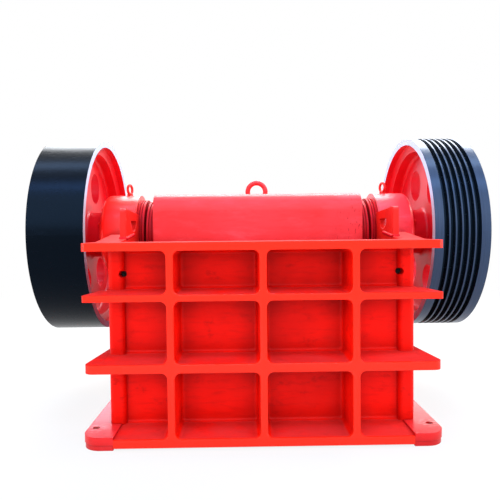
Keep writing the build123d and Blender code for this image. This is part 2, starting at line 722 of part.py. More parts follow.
def pitman_guard():
    sheet = head_outline(GUARD_THICKNESS) - head_outline(0)
    return across(sheet, -PITMAN_HALF, PITMAN_HALF)


def jaw_clamp_bar():
    # The bar that wedges the moving jaw plate down, in front of the shelf
    low = JAW_TOP + CLAMP_BAR / 4
    outline = polygon(
        leaning_point(0, low),
        leaning_point(0, low + CLAMP_BAR),
        leaning_point(-CLAMP_BAR * 1.6, low + CLAMP_BAR),
        leaning_point(-CLAMP_BAR * 1.6, low + CLAMP_BAR / 2),
    )
    return across(outline, -PITMAN_HALF, PITMAN_HALF)


def pitman_eye():
    top = THROW_HEIGHT + HEAD_TOP + GUARD_THICKNESS
    ring = Pos(0, SHAFT_Y, top + EYE_RISE) * (Rot(90, 0, 0) * Torus(EYE_RADIUS, EYE_WIRE))
    below = block(-2 * EYE_RADIUS, 2 * EYE_RADIUS, SHAFT_DEPTH - 2 * EYE_WIRE,
                  SHAFT_DEPTH + 2 * EYE_WIRE, top - 2 * EYE_RADIUS, top)
    return ring - below


# Shaft, wheels and end caps

def eccentric_shaft():
    middle_half = PITMAN_HALF + PITMAN_RING
    middle = shaft_rod(ECCENTRIC_RADIUS, -middle_half, middle_half, THROW_HEIGHT)
    return middle + shaft_rod(JOURNAL_RADIUS, -HUB_END_HALF, HUB_END_HALF)


def wheel(tread):
    # Half section with radius along X and width along Y; the tread's points run outwards
    bore = JOURNAL_RADIUS + RUNNING_FIT
    hub_end = WHEEL_WIDTH - HUB_SET_BACK
    web_back = WEB_RECESS + WEB_THICKNESS
    section = polygon(
        *tread,
        (RIM_BORE, WHEEL_WIDTH),
        (RIM_BORE, WHEEL_WIDTH - RIM_STEP),
        (RIM_INNER, WHEEL_WIDTH - RIM_STEP - RIM_SLOPE),
        (RIM_INNER, web_back),
        (HUB_RADIUS, web_back),
        (HUB_RADIUS, hub_end),
        (bore, hub_end),
        (bore, HUB_RECESS),
        (HUB_RADIUS, HUB_RECESS),
        (HUB_RADIUS, WEB_RECESS),
        (RIM_INNER, WEB_RECESS),
        (RIM_INNER, RIM_STEP + RIM_SLOPE),
        (RIM_BORE, RIM_STEP),
        (RIM_BORE, 0),
    )
    hollows = [v for v in section.vertices()
               if v.Y in (WEB_RECESS, web_back) and v.X in (RIM_INNER, HUB_RADIUS)]
    turned = revolve(fillet(hollows, WEB_FILLET), Axis.Y)
    for number in range(WEB_HOLES):
        angle = radians(WEB_HOLE_START + number * 360 / WEB_HOLES)
        place = (WEB_HOLE_CIRCLE * cos(angle), WEB_RECESS + WEB_THICKNESS / 2,
                 WEB_HOLE_CIRCLE * sin(angle))
        hole = Rot(90, 0, 0) * Cylinder(WEB_HOLE_RADIUS, WEB_THICKNESS)
        turned -= Pos(*place) * hole
    # The wheel's width turns from Y to X, with its open face towards the bearing
    return Pos(WHEEL_INNER_HALF, SHAFT_Y, SHAFT_HEIGHT) * (Rot(0, 0, -90) * turned)


def flywheel():
    tread = [(WHEEL_RADIUS, 0), (WHEEL_RADIUS, WHEEL_WIDTH)]
    return mirror(wheel(tread), Plane.YZ)


def drive_sheave():
    tread = [(WHEEL_RADIUS, 0)]
    for number in range(GROOVES):
        middle = INNER_LAND + GROOVE_WIDTH / 2 + number * GROOVE_PITCH
        tread += [
            (WHEEL_RADIUS, middle - GROOVE_WIDTH / 2),
            (WHEEL_RADIUS - GROOVE_DEPTH, middle - GROOVE_BOTTOM / 2),
            (WHEEL_RADIUS - GROOVE_DEPTH, middle + GROOVE_BOTTOM / 2),
            (WHEEL_RADIUS, middle + GROOVE_WIDTH / 2),
        ]
    tread.append((WHEEL_RADIUS, WHEEL_WIDTH))
    return wheel(tread)


def end_cap():
    return shaft_rod(END_CAP_RADIUS, HUB_END_HALF, HUB_END_HALF + END_CAP)


# Toggle plate, its seats and the shims behind them

def toggle_outline(grow):
    front = (depth(TOGGLE_FRONT_DEPTH), TOGGLE_FRONT_HEIGHT)
    rear = (depth(TOGGLE_REAR_DEPTH), TOGGLE_REAR_HEIGHT)
    length = hypot(rear[0] - front[0], rear[1] - front[1])
    lean = degrees(atan2(rear[1] - front[1], rear[0] - front[0]))
    middle = Pos((front[0] + rear[0]) / 2, (front[1] + rear[1]) / 2)
    return middle * (Rot(0, 0, lean) * SlotOverall(length + 2 * grow, TOGGLE_THICKNESS + 2 * grow))


def toggle_plate():
    return across(toggle_outline(0), -TOGGLE_HALF, TOGGLE_HALF)


def front_toggle_seat():
    # Set forward of the toggle's end by the room that the shaft's throw needs
    back = TOE_BACK + FRONT_SEAT
    low = TOGGLE_FRONT_HEIGHT - FRONT_SEAT_HEIGHT / 2
    return block(-TOGGLE_HALF, TOGGLE_HALF, TOE_BACK, back, low, low + FRONT_SEAT_HEIGHT)


def rear_seat_bottom():
    return TOGGLE_REAR_HEIGHT - REAR_SEAT_HEIGHT / 2


def rear_toggle_seat():
    low = rear_seat_bottom()
    seat = block(-TOGGLE_HALF, TOGGLE_HALF, TOGGLE_REAR_DEPTH - REAR_SEAT_LIP,
                 REAR_PANEL_FRONT - SHIM_STACK, low, low + REAR_SEAT_HEIGHT)
    return seat - across(toggle_outline(SEAT_GAP), -TOGGLE_HALF, TOGGLE_HALF)


def adjusting_shims():
    low = rear_seat_bottom()
    return block(-TOGGLE_HALF, TOGGLE_HALF, REAR_PANEL_FRONT - SHIM_STACK, REAR_PANEL_FRONT,
                 low, low + SHIM_HEIGHT)


# Tension rods: an eye round a pin on the pitman's toe, and a spring behind the rear wall

def rod_eye_outline(radius):
    return Pos(depth(TOE_BACK + ROD_PIN_SET_BACK), ROD_HEIGHT) * Circle(radius)


def tension_rod():
    low = ROD_SPACING / 2 - ROD_EYE_THICKNESS / 2
    high = low + ROD_EYE_THICKNESS
    eye_back = TOE_BACK + ROD_PIN_SET_BACK + ROD_EYE_RADIUS
    rod = across(rod_eye_outline(ROD_EYE_RADIUS), low, high)
    rod += rearward_rod(ROD_RADIUS, eye_back - ROD_RADIUS / 2, ROD_END_DEPTH)
    # The pin circles with the pitman, so its hole has room for the throw all round
    return rod - across(rod_eye_outline(ROD_PIN_RADIUS + THROW + ROD_PIN_GAP), low, high)


def rod_ears():
    # Two ears and a pin on the back of the pitman's toe, one each side of a rod's eye
    pin = Pos(depth(TOE_BACK + ROD_PIN_SET_BACK), ROD_HEIGHT - THROW)
    inside = ROD_EYE_THICKNESS / 2 + EAR_GAP
    outside = inside + EAR_THICKNESS
    plate = polygon(
        (depth(TOE_BACK), JAW_BOTTOM),
        (depth(TOE_BACK + ROD_PIN_SET_BACK), ROD_HEIGHT - THROW - EAR_RADIUS),
        (depth(TOE_BACK + ROD_PIN_SET_BACK), ROD_HEIGHT - THROW + EAR_RADIUS),
        (depth(TOE_BACK), ROD_HEIGHT + EAR_RADIUS),
    )
    outline = plate + pin * Circle(EAR_RADIUS)
    middle = ROD_SPACING / 2
    ears = across(outline, middle - outside, middle - inside)
    ears += across(outline, middle + inside, middle + outside)
    return ears + across(pin * Circle(ROD_PIN_RADIUS), middle - outside, middle + outside)


def tension_spring():
    height = SPRING_LENGTH - 2 * SPRING_WIRE
    path = Helix(height / SPRING_COILS, height, SPRING_RADIUS)
    coil = sweep(Plane(origin=path @ 0, z_dir=path % 0) * Circle(SPRING_WIRE), path)
    start = depth(SPRING_SEAT) + SEAT_GAP + SPRING_WIRE
    return Pos(ROD_SPACING / 2, start, ROD_HEIGHT) * (Rot(-90, 0, 0) * coil)


def spring_nut():
    # A plate washer against the spring, with a hexagon nut behind it
    washer_front = SPRING_SEAT + SPRING_LENGTH + 2 * SEAT_GAP
    nut_front = washer_front + WASHER
    hexagon = Pos(ROD_SPACING / 2, ROD_HEIGHT) * RegularPolygon(NUT_RADIUS, 6)
    nut = rearward_rod(WASHER_RADIUS, washer_front, nut_front)
    nut += rearward(hexagon, nut_front, nut_front + NUT_HEIGHT)
    return nut - rearward_rod(ROD_RADIUS + SEAT_GAP, washer_front, nut_front + NUT_HEIGHT)


def single_pieces():
    return {
        "front_wall": front_wall(),
        "rear_wall": rear_wall(),
        "fixed_jaw_plate": fixed_jaw_plate(),
        "moving_jaw_plate": moving_jaw_plate(),
        "jaw_clamp_bar": jaw_clamp_bar(),
        "pitman": pitman(),
        "pitman_head": pitman_head(),
        "pitman_guard": pitman_guard(),
        "pitman_eye": pitman_eye(),
        "eccentric_shaft": eccentric_shaft(),
        "flywheel": flywheel(),
        "drive_sheave": drive_sheave(),
        "toggle_plate": toggle_plate(),
        "front_toggle_seat": front_toggle_seat(),
        "rear_toggle_seat": rear_toggle_seat(),
        "adjusting_shims": adjusting_shims(),
    }


def paired_pieces():
    # Drawn on the +X side, and made once for each side
    journal = JOURNAL_RADIUS + RUNNING_FIT
    eccentric = ECCENTRIC_RADIUS + RUNNING_FIT
    housing_ring = labyrinth_ring(
        HOUSING_INNER_HALF - HOUSING_RING, HOUSING_INNER_HALF, journal, SHAFT_HEIGHT)
    pitman_ring = labyrinth_ring(
        PITMAN_HALF, PITMAN_HALF + PITMAN_RING, eccentric, THROW_HEIGHT)
    return {
        "side_wall": side_wall(),
        "foot_rail": foot_rail(),
        "bearing_housing": bearing_housing(),
        "bearing_cover": outer_cover(),
        "housing_ring": housing_ring,
        "pitman_ring": pitman_ring,
        "lifting_lug": lifting_lug(),
        "housing_eyebolt": housing_eyebolt(),
        "cheek_plate": cheek_plate(),
        "shaft_end_cap": end_cap(),
        "tension_rod": tension_rod(),
        "tension_spring": tension_spring(),
        "spring_nut": spring_nut(),
    }


def main():
    for name, shape in single_pieces().items():
        export_step(shape, f"parts/{name}.step")
    for name, shape in paired_pieces().items():
        for word, side in SIDES:
            export_step(on_side(shape, side), f"parts/{name}_{word}.step")


main()
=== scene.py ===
"""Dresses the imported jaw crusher: finishes, fasteners, camera, lamps and floor.

Everything is in metres in the part's own frame: +Z up, the ribbed feed wall towards -Y,
the grooved sheave on +X and the smooth flywheel on -X.
"""

from __future__ import annotations

import logging
from dataclasses import dataclass, replace
from enum import Enum
from functools import cached_property
from math import cos, pi, radians, sin

import bpy
from mathutils import Matrix, Vector


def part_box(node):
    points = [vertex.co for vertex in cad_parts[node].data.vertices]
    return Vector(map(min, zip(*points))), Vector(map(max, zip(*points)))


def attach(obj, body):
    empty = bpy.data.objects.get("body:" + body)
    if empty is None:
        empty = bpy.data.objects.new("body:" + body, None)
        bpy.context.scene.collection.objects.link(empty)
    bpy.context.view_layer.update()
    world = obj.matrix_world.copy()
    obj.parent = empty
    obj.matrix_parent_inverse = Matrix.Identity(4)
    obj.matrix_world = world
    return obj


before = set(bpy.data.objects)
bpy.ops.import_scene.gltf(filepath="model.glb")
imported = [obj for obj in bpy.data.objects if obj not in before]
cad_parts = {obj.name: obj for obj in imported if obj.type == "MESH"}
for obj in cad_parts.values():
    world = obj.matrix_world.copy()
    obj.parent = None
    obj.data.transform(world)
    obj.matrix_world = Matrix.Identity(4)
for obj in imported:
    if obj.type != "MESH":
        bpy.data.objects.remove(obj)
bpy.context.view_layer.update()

LOG = logging.getLogger("jaw_crusher")
IMAGE_SIDE = 500

Triple = tuple[float, float, float]
Colour = Triple
Profile = tuple[tuple[float, float], ...]
Material = bpy.types.Material
Piece = bpy.types.Object
Bolt = tuple[Vector, Vector, float]

WHITE = (1.0, 1.0, 1.0)
BACK = Vector((0, 1, 0))
UP = Vector((0, 0, 1))

# Sockets of Blender's Mix node for colours
MIX_SHARE, MIX_FIRST, MIX_SECOND, MIX_RESULT = 0, 6, 7, 2
EDGE_SAMPLES = 6

# Faces that meet at less than this angle are shaded smooth
SMOOTH_ANGLE = radians(35.0)
# A face looks up when its normal's Z is more than this
UPWARD = 0.9
# Turn of each bolt's head for its angle on the circle
HEAD_TURN = 1.7


class Side(Enum):
    """The sides of the machine, by the sign of X."""

    LEFT = -1.0
    RIGHT = 1.0

    def __str__(self) -> str:
        """Gives the word that ends the names of its pieces."""
        return self.name.lower()

    @property
    def outward(self) -> Vector:
        """Gives the direction away from the middle."""
        return self.value * Vector((1, 0, 0))


class Body(Enum):
    """The moving bodies of the machine."""

    FRAME = "frame"
    ROTOR = "rotor"
    PITMAN = "pitman"


class Slot(Enum):
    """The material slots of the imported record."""

    RED = "red_paint"
    DARK = "dark_steel"


# Shader maths


class Wave:
    """A shader socket that can be used in Python sums."""

    def __init__(self, bench: ShaderBench, socket: bpy.types.NodeSocket) -> None:
        """Keeps the socket and the bench that adds nodes for it."""
        self.bench = bench
        self.socket = socket

    def _math(self, operation: str, first: Value, second: Value) -> Wave:
        """Adds a Math node for one operation on two values."""
        return self.bench.add("Math", {0: first, 1: second}, operation=operation)

    def __add__(self, other: Value) -> Wave:
        """Adds a value."""
        return self._math("ADD", self, other)

    __radd__ = __add__

    def __sub__(self, other: Value) -> Wave:
        """Takes a value away."""
        return self._math("SUBTRACT", self, other)

    def __rsub__(self, other: Value) -> Wave:
        """Is taken away from a value."""
        return self._math("SUBTRACT", other, self)

    def __mul__(self, other: Value) -> Wave:
        """Multiplies by a value."""
        return self._math("MULTIPLY", self, other)

    __rmul__ = __mul__

    def power(self, exponent: float) -> Wave:
        """Raises it to a power."""
        return self._math("POWER", self, exponent)

    def greatest(self, other: Value) -> Wave:
        """Takes the greater of it and a value."""
        return self._math("MAXIMUM", self, other)


Value = Wave | float | Colour
Inputs = dict[str | int, Value]


@dataclass(frozen=True)
class Grain:
    """A noise of so many lumps a metre, and the range of it that shows as marks."""

    scale: float
    detail: float = 3.0
    stretch: Triple = (1.0, 1.0, 1.0)
    roughness: float = 0.5
    low: float = 0.0
    high: float = 1.0


class ShaderBench:
    """Builds one material's nodes."""

    def __init__(self, tree: bpy.types.NodeTree) -> None:
        """Empties the tree and keeps it."""
        self.tree = tree
        tree.nodes.clear()

    def node(self, kind: str, inputs: Inputs | None = None,
             **settings: object) -> bpy.types.Node:
        """Adds one node.

        Args:
            kind: The node's Blender type, without ShaderNode in front.
            inputs: Values or links for its sockets, by name or number.
            settings: Attributes that are set before the sockets.

        Returns:
            The node.
        """
        node = self.tree.nodes.new("ShaderNode" + kind)
        for name, value in settings.items():
            setattr(node, name, value)
        for name, value in (inputs or {}).items():
            socket = node.inputs[name]
            if isinstance(value, Wave):
                self.tree.links.new(value.socket, socket)
            elif isinstance(value, tuple) and socket.type == "RGBA":
                socket.default_value = (*value, 1.0)
            else:
                socket.default_value = value
        return node

    def add(self, kind: str, inputs: Inputs | None = None, output: str | int = 0,
            **settings: object) -> Wave:
        """Adds one node and hands back one of its outputs, by name or number."""
        return Wave(self, self.node(kind, inputs, **settings).outputs[output])

    def place(self) -> Wave:
        """Gives the piece's own place in metres."""
        return self.add("TexCoord", output="Object")

    def moved(self, centre: Triple) -> Wave:
        """Gives the place measured from a centre."""
        move = tuple(-value for value in centre)
        return self.add("Mapping", {"Vector": self.place(), "Location": move})

    def parts(self, vector: Wave) -> tuple[Wave, Wave, Wave]:
        """Splits a vector into its X, Y and Z."""
        outputs = self.node("SeparateXYZ", {0: vector}).outputs
        return Wave(self, outputs["X"]), Wave(self, outputs["Y"]), Wave(self, outputs["Z"])

    def facing(self) -> tuple[Wave, Wave, Wave]:
        """Gives the X, Y and Z of the way that the face looks."""
        return self.parts(self.add("NewGeometry", output="True Normal"))

    def noise(self, grain: Grain) -> Wave:
        """Gives the noise of a grain, from 0 to 1."""
        vector = self.add("Mapping", {"Vector": self.place(), "Scale": grain.stretch})
        return self.add("TexNoise", {"Vector": vector, "Scale": grain.scale,
                                     "Detail": grain.detail, "Roughness": grain.roughness})

    def marks(self, grain: Grain) -> Wave:
        """Gives a grain's marks: 0 where its noise is below its low and 1 above its high."""
        return self.band(self.noise(grain), grain.low, grain.high)

    def band(self, value: Wave, low: float, high: float) -> Wave:
        """Turns a value into 0 below low and 1 above high."""
        inputs = {"Value": value, "From Min": low, "From Max": high}
        return self.add("MapRange", inputs, interpolation_type="SMOOTHSTEP", clamp=True)

    def step(self, value: Wave, edge: float, span: tuple[float, float]) -> Wave:
        """Turns a value into 0 before and 1 beyond a span that is measured from an edge."""
        return self.band(value, edge + span[0], edge + span[1])

    def mix(self, share: Value, first: Value, second: Value) -> Wave:
        """Mixes two colours."""
        inputs = {MIX_SHARE: share, MIX_FIRST: first, MIX_SECOND: second}
        return self.add("Mix", inputs, MIX_RESULT, data_type="RGBA")

    def bump(self, height: Wave, distance: float, strength: float = 1.0,
             under: Wave | None = None) -> Wave:
        """Turns a height from 0 to 1 into a normal.

        Args:
            height: The height field.
            distance: Its depth in metres.
            strength: How much of it shows.
            under: A normal that it adds to.

        Returns:
            The normal.
        """
        inputs: Inputs = {"Height": height, "Distance": distance, "Strength": strength}
        if under is not None:
            inputs["Normal"] = under
        return self.add("Bump", inputs)

    def rounded(self, radius: float) -> Wave:
        """Gives a normal that rounds sharp edges."""
        return self.add("Bevel", {"Radius": radius}, samples=EDGE_SAMPLES)

    def cavity(self, reach: float) -> Wave:
        """Is 1 in the open and less in corners within a reach."""
        return self.add("AmbientOcclusion", {"Distance": reach}, "AO", samples=EDGE_SAMPLES)

    def seen(self) -> Wave:
        """Is 1 for what the camera, a gloss or a glass sees.

        Returns:
            The mask.
        """
        outputs = self.node("LightPath").outputs
        names = ("Is Camera Ray", "Is Glossy Ray", "Is Transmission Ray")
        camera, gloss, glass = (Wave(self, outputs[name]) for name in names)
        return camera.greatest(gloss).greatest(glass)

    def surface(self, inputs: Inputs) -> None:
        """Adds the surface shader and joins it to the output."""
        shader = self.add("BsdfPrincipled", inputs)
        self.node("OutputMaterial", {"Surface": shader})


def new_material(name: str) -> tuple[Material, ShaderBench]:
    """Makes an empty node material.

    Args:
        name: The material's name.

    Returns:
        The material and the bench for it.
    """
    material = bpy.data.materials.new(name)
    material.use_nodes = True
    return material, ShaderBench(material.node_tree)


# Finishes


@dataclass(frozen=True)
class CastEnamel:
    """Gloss enamel brushed over sand-cast iron.

    Faces in front of polished_front, such as the fronts of the ribs, were filled and rubbed
    smooth first, so they take more gloss than the brushed hollows behind them. The paint is
    ticked to the right of scratched_from, and scraped round the worn spots. The corners are
    darkened with painted shade, the ledges with dust and painted shade, and the pale film
    is partly a painted sheen.
    """

    colour: Colour = (0.8, 0.0085, 0.0045)
    deep: Colour = (0.55, 0.0036, 0.0028)
    # Grime in the blots, and painted shade in the corners
    grime: Colour = (0.29, 0.0022, 0.0022)
    speck: Colour = (0.34, 0.004, 0.003)
    # Pale film in patches, partly a painted sheen
    film: Colour = (0.88, 0.038, 0.026)
    # Dust on the ledges, darker than the paint, so it is also painted shade
    dust: Colour = (0.6, 0.04, 0.036)
    tick: Colour = (0.36, 0.004, 0.004)
    scraped: Colour = (0.62, 0.22, 0.2)
    polished: Colour = (0.91, 0.015, 0.0015)
    patch_share: float = 0.4
    brush_share: float = 0.3
    blot_share: float = 0.34
    corner_share: float = 0.66
    speck_share: float = 0.4
    film_share: float = 0.14
    dust_share: float = 0.6
    tick_share: float = 0.75
    scraped_share: float = 0.8
    polished_share: float = 0.88
    roughness: float = 0.34
    film_haze: float = 0.14
    brush_haze: float = 0.1
    dust_haze: float = 0.3
    specular: float = 0.12
    coat: float = 0.06
    polished_coat: float = 0.42
    coat_roughness: float = 0.14
    sand_depth: float = 0.0006
    wave_depth: float = 0.0024
    brush_depth: float = 0.001
    edge: float = 0.004
    corner_reach: float = 0.12
    ragged_reach: float = 0.05
    tick_fade: float = 0.1
    polished_front: float | None = None
    scratched_from: float | None = None
    worn_spots: tuple[Triple, ...] = ()

    PATCHES = Grain(3.2, 4.0, low=0.4, high=0.68)
    BRUSH = Grain(26.0, 4.0, (0.42, 1.0, 2.1), 0.6, 0.46, 0.72)
    BLOTS = Grain(14.0, 6.0, (0.8, 1.0, 1.3), 0.7, 0.56, 0.7)
    SPECKS = Grain(150.0, low=0.69, high=0.76)
    FILM = Grain(11.0, 5.0, (0.5, 1.0, 1.6), 0.65, 0.5, 0.78)
    SETTLED = Grain(7.0, 5.0, roughness=0.6, low=0.12 / 0.7, high=0.6)
    TICKS = Grain(75.0, 3.0, (2.0, 1.0, 0.55), 0.6, 0.62, 0.68)
    SCRAPES = Grain(90.0, 4.0, (0.3, 1.4, 1.0), 0.7, 0.46, 0.62)
    RAGGED = Grain(40.0)
    WAVES = Grain(22.0, 2.0)
    SAND = Grain(380.0, 2.0)
    OPEN = (0.34, 0.9)
    LEVEL = (0.8, 0.97)
    BEHIND_FRONT = (0.004, 0.016)
    SCRAPED_RING = (0.03, 0.062)
    # How much shows of the waves, the brush and the sand
    RELIEF = (0.5, 0.55, 0.35)

    def paint(self, bench: ShaderBench) -> None:
        """Builds the nodes of the material.

        Args:
            bench: The material's bench.
        """
        brush = bench.noise(self.BRUSH)
        film = bench.marks(self.FILM)
        _, _, up = bench.facing()
        # Up-facing faces take dust and painted shade
        dusty_and_shaded = bench.band(up, *self.LEVEL) * bench.marks(self.SETTLED) * self.dust_share
        polish: Value = 0.0
        if self.polished_front is not None:
            _, y, _ = bench.parts(bench.place())
            polish = 1.0 - bench.step(y, self.polished_front, self.BEHIND_FRONT)
        colour = self.brushed(bench, brush)
        # The pale film is partly a painted sheen
        colour = bench.mix(film * self.film_share, colour, self.film)
        colour = bench.mix(dusty_and_shaded, colour, self.dust)
        colour = self.damaged(bench, colour)
        waves, strokes, sand = self.RELIEF
        normal = bench.rounded(self.edge)
        normal = bench.bump(bench.noise(self.WAVES), self.wave_depth, waves, normal)
        normal = bench.bump(brush, self.brush_depth, strokes, normal)
        normal = bench.bump(bench.noise(self.SAND), self.sand_depth, sand, normal)
        bench.surface({
            "Base Color": bench.mix(polish * self.polished_share, colour, self.polished),
            "Roughness": (self.roughness + self.film_haze * film + self.dust_haze * dusty_and_shaded
                          + self.brush_haze * (brush * (1.0 - polish))),
            "Specular IOR Level": self.specular,
            "Coat Weight": self.coat + (self.polished_coat - self.coat) * polish,
            "Coat Roughness": self.coat_roughness,
            "Normal": normal,
        })

    def brushed(self, bench: ShaderBench, brush: Wave) -> Wave:
        """Colours the brushed paint, with its patches, blots, painted shade in the corners and
        specks.

        Args:
            bench: The material's bench.
            brush: The noise of the brush.

        Returns:
            The colour.
        """
        strokes = bench.band(brush, self.BRUSH.low, self.BRUSH.high)
        # Painted shade: the colour goes darker towards the grime colour where ambient occlusion
        # finds a corner
        corner = 1.0 - bench.band(bench.cavity(self.corner_reach), *self.OPEN)
        colour = bench.mix(bench.marks(self.PATCHES) * self.patch_share, self.colour, self.deep)
        colour = bench.mix(strokes * self.brush_share, colour, self.deep)
        colour = bench.mix(bench.marks(self.BLOTS) * self.blot_share, colour, self.grime)
        colour = bench.mix(corner * self.corner_share, colour, self.grime)
        return bench.mix(bench.marks(self.SPECKS) * self.speck_share, colour, self.speck)

    def damaged(self, bench: ShaderBench, colour: Wave) -> Wave:
        """Adds the ring that a nut scraped round each worn spot, and the ticks.

        Args:
            bench: The material's bench.
            colour: The colour of the paint.

        Returns:
            The colour with the damage.
        """
        for spot in self.worn_spots:
            x, y, _ = bench.parts(bench.moved(spot))
            ragged = (bench.noise(self.RAGGED) - 0.5) * self.ragged_reach
            ring = 1.0 - bench.band((x * x + y * y).power(0.5) + ragged, *self.SCRAPED_RING)
            scrapes = ring * bench.marks(self.SCRAPES) * self.scraped_share
            colour = bench.mix(scrapes, colour, self.scraped)
        if self.scratched_from is not None:
            x, _, _ = bench.parts(bench.place())
            right = bench.band(x, self.scratched_from, self.scratched_from + self.tick_fade)
            ticks = bench.marks(self.TICKS) * right * self.tick_share
            colour = bench.mix(ticks, colour, self.tick)
        return colour


@dataclass(frozen=True)
class WheelEnamel:
    """Black tread gloss with a painted blue sky sheen, bright turned rim faces and crimson
    inside the wheel.
    """

    axis_y: float
    axis_z: float
    tread_radius: float
    rim_bore: float = 0.482
    grooves: bool = False
    black: Colour = (0.0005, 0.0008, 0.0015)
    worn_black: Colour = (0.0016, 0.0024, 0.0046)
    # The blue of the lands is partly a painted sky sheen
    land: Colour = (0.03, 0.05, 0.098)
    bare: Colour = (0.5, 0.52, 0.6)
    dull_bare: Colour = (0.36, 0.38, 0.44)
    crimson: Colour = (0.66, 0.006, 0.0125)
    deep_crimson: Colour = (0.47, 0.0035, 0.009)
    # Painted blue sky sheen in every reflection
    tint: Colour = (0.34, 0.6, 1.0)
    patch_share: float = 0.55
    scuff_share: float = 0.5
    lathe_share: float = 0.35
    land_wear: float = 0.6
    wobble: float = 0.006
    tread_depth: float = 0.03
    roughness: float = 0.26
    specular: float = 0.12
    metal: float = 0.6
    land_metal: float = 0.1
    paint_coat: float = 0.24
    land_coat: float = 0.34
    coat_roughness: float = 0.26
    scuff_haze: float = 0.07
    rim_haze: float = 0.1
    paint_haze: float = 0.16
    land_haze: float = 0.06
    wave_depth: float = 0.001
    grit_depth: float = 0.0003
    edge: float = 0.0025

    PATCHES = Grain(4.2, 4.0, low=0.38, high=0.68)
    SCUFFS = Grain(46.0, 4.0, (0.25, 1.0, 1.0), 0.6, 0.56, 0.8)
    LATHE = Grain(360.0, 2.0, (1.0, 0.02, 0.02))
    WOBBLE = Grain(16.0)
    WAVES = Grain(20.0, 2.0)
    GRIT = Grain(360.0, 2.0)
    SIDEWAYS = (0.96, 0.99)
    BORE_STEP = (-0.004, 0.001)
    FLOOR_STEP = (-0.0005, 0.0005)
    LAND_STEP = (-0.0022, -0.0008)
    # How much shows of the waves and the grit
    RELIEF = (0.3, 0.25)

    def paint(self, bench: ShaderBench) -> None:
        """Builds the nodes of the material.

        Args:
            bench: The material's bench.
        """
        _, y, z = bench.parts(bench.moved((0.0, self.axis_y, self.axis_z)))
        radius = (y * y + z * z).power(0.5)
        side, _, _ = bench.facing()
        wobble = (bench.noise(self.WOBBLE) - 0.5) * self.wobble
        rim_face = (bench.band(side * side, *self.SIDEWAYS)
                    * bench.step(radius + wobble, self.rim_bore, self.BORE_STEP))
        floor = self.tread_radius - self.tread_depth
        tread = bench.step(radius, floor, self.FLOOR_STEP) * (1.0 - rim_face)
        paint = 1.0 - tread
        scuffs = bench.marks(self.SCUFFS)
        lathe = bench.noise(self.LATHE)
        black = bench.mix(scuffs * self.scuff_share, self.black, self.worn_black)
        land: Value = 0.0
        if self.grooves:
            land = tread * bench.step(radius, self.tread_radius, self.LAND_STEP)
            worn_land = bench.mix(lathe * self.land_wear, self.land, self.black)
            black = bench.mix(land, black, worn_land)
        patches = bench.marks(self.PATCHES) * self.patch_share
        crimson = bench.mix(patches, self.crimson, self.deep_crimson)
        bare = bench.mix(lathe * self.lathe_share, self.bare, self.dull_bare)
        waves, grit = self.RELIEF
        normal = bench.rounded(self.edge)
        normal = bench.bump(bench.noise(self.WAVES), self.wave_depth, waves, normal)
        bench.surface({
            "Base Color": bench.mix(tread, bench.mix(rim_face, crimson, bare), black),
            "Roughness": (self.roughness + self.scuff_haze * scuffs + self.rim_haze * rim_face
                          + self.paint_haze * paint + self.land_haze * land),
            "Metallic": self.metal * rim_face + self.land_metal * land,
            "Specular IOR Level": self.specular,
            # The specular tint paints a blue sky sheen
            "Specular Tint": self.tint,
            "Coat Weight": self.paint_coat * (paint * (1.0 - rim_face)) + self.land_coat * land,
            "Coat Roughness": self.coat_roughness,
            "Normal": bench.bump(bench.noise(self.GRIT), self.grit_depth, grit, normal),
        })


@dataclass(frozen=True)
class TurnedSteel:
    """Bright steel with lathe marks round the shaft, and dark red paint mist between the rings
    that is also painted shade in the ring gaps.
    """

    colour: Colour = (0.62, 0.61, 0.6)
    worn: Colour = (0.36, 0.34, 0.32)
    # Dark red mist, which is also painted shade in the gaps between the rings
    mist: Colour = (0.34, 0.005, 0.008)
    mist_half: float = 0.7
    mist_share: float = 0.94
    mist_fade: float = 0.01
    stain_share: float = 0.5
    roughness: float = 0.26
    stain_haze: float = 0.2
    lathe_haze: float = 0.08
    mist_haze: float = 0.2
    lathe_depth: float = 0.0002
    lathe_relief: float = 0.3
    edge: float = 0.002

    SPRAY = Grain(60.0, 4.0, low=0.3, high=0.46)
    LATHE = Grain(900.0, 2.0, (1.0, 0.01, 0.01))
    STAINS = Grain(20.0, 4.0, low=0.5, high=0.75)

    def paint(self, bench: ShaderBench) -> None:
        """Builds the nodes of the material.

        Args:
            bench: The material's bench.
        """
        x, _, _ = bench.parts(bench.place())
        half = self.mist_half ** 2
        # The mist is partly painted shade in the ring gaps
        mist = bench.marks(self.SPRAY) * self.mist_share
        mist = mist * (1.0 - bench.band(x * x, half, half + self.mist_fade))
        lathe = bench.noise(self.LATHE)
        stains = bench.marks(self.STAINS)
        colour = bench.mix(stains * self.stain_share, self.colour, self.worn)
        bench.surface({
            "Base Color": bench.mix(mist, colour, self.mist),
            "Roughness": (self.roughness + self.stain_haze * stains + self.lathe_haze * lathe
                          + self.mist_haze * mist),
            "Metallic": 1.0 - mist,
            "Normal": bench.bump(lathe, self.lathe_depth, self.lathe_relief,
                                 bench.rounded(self.edge)),
        })


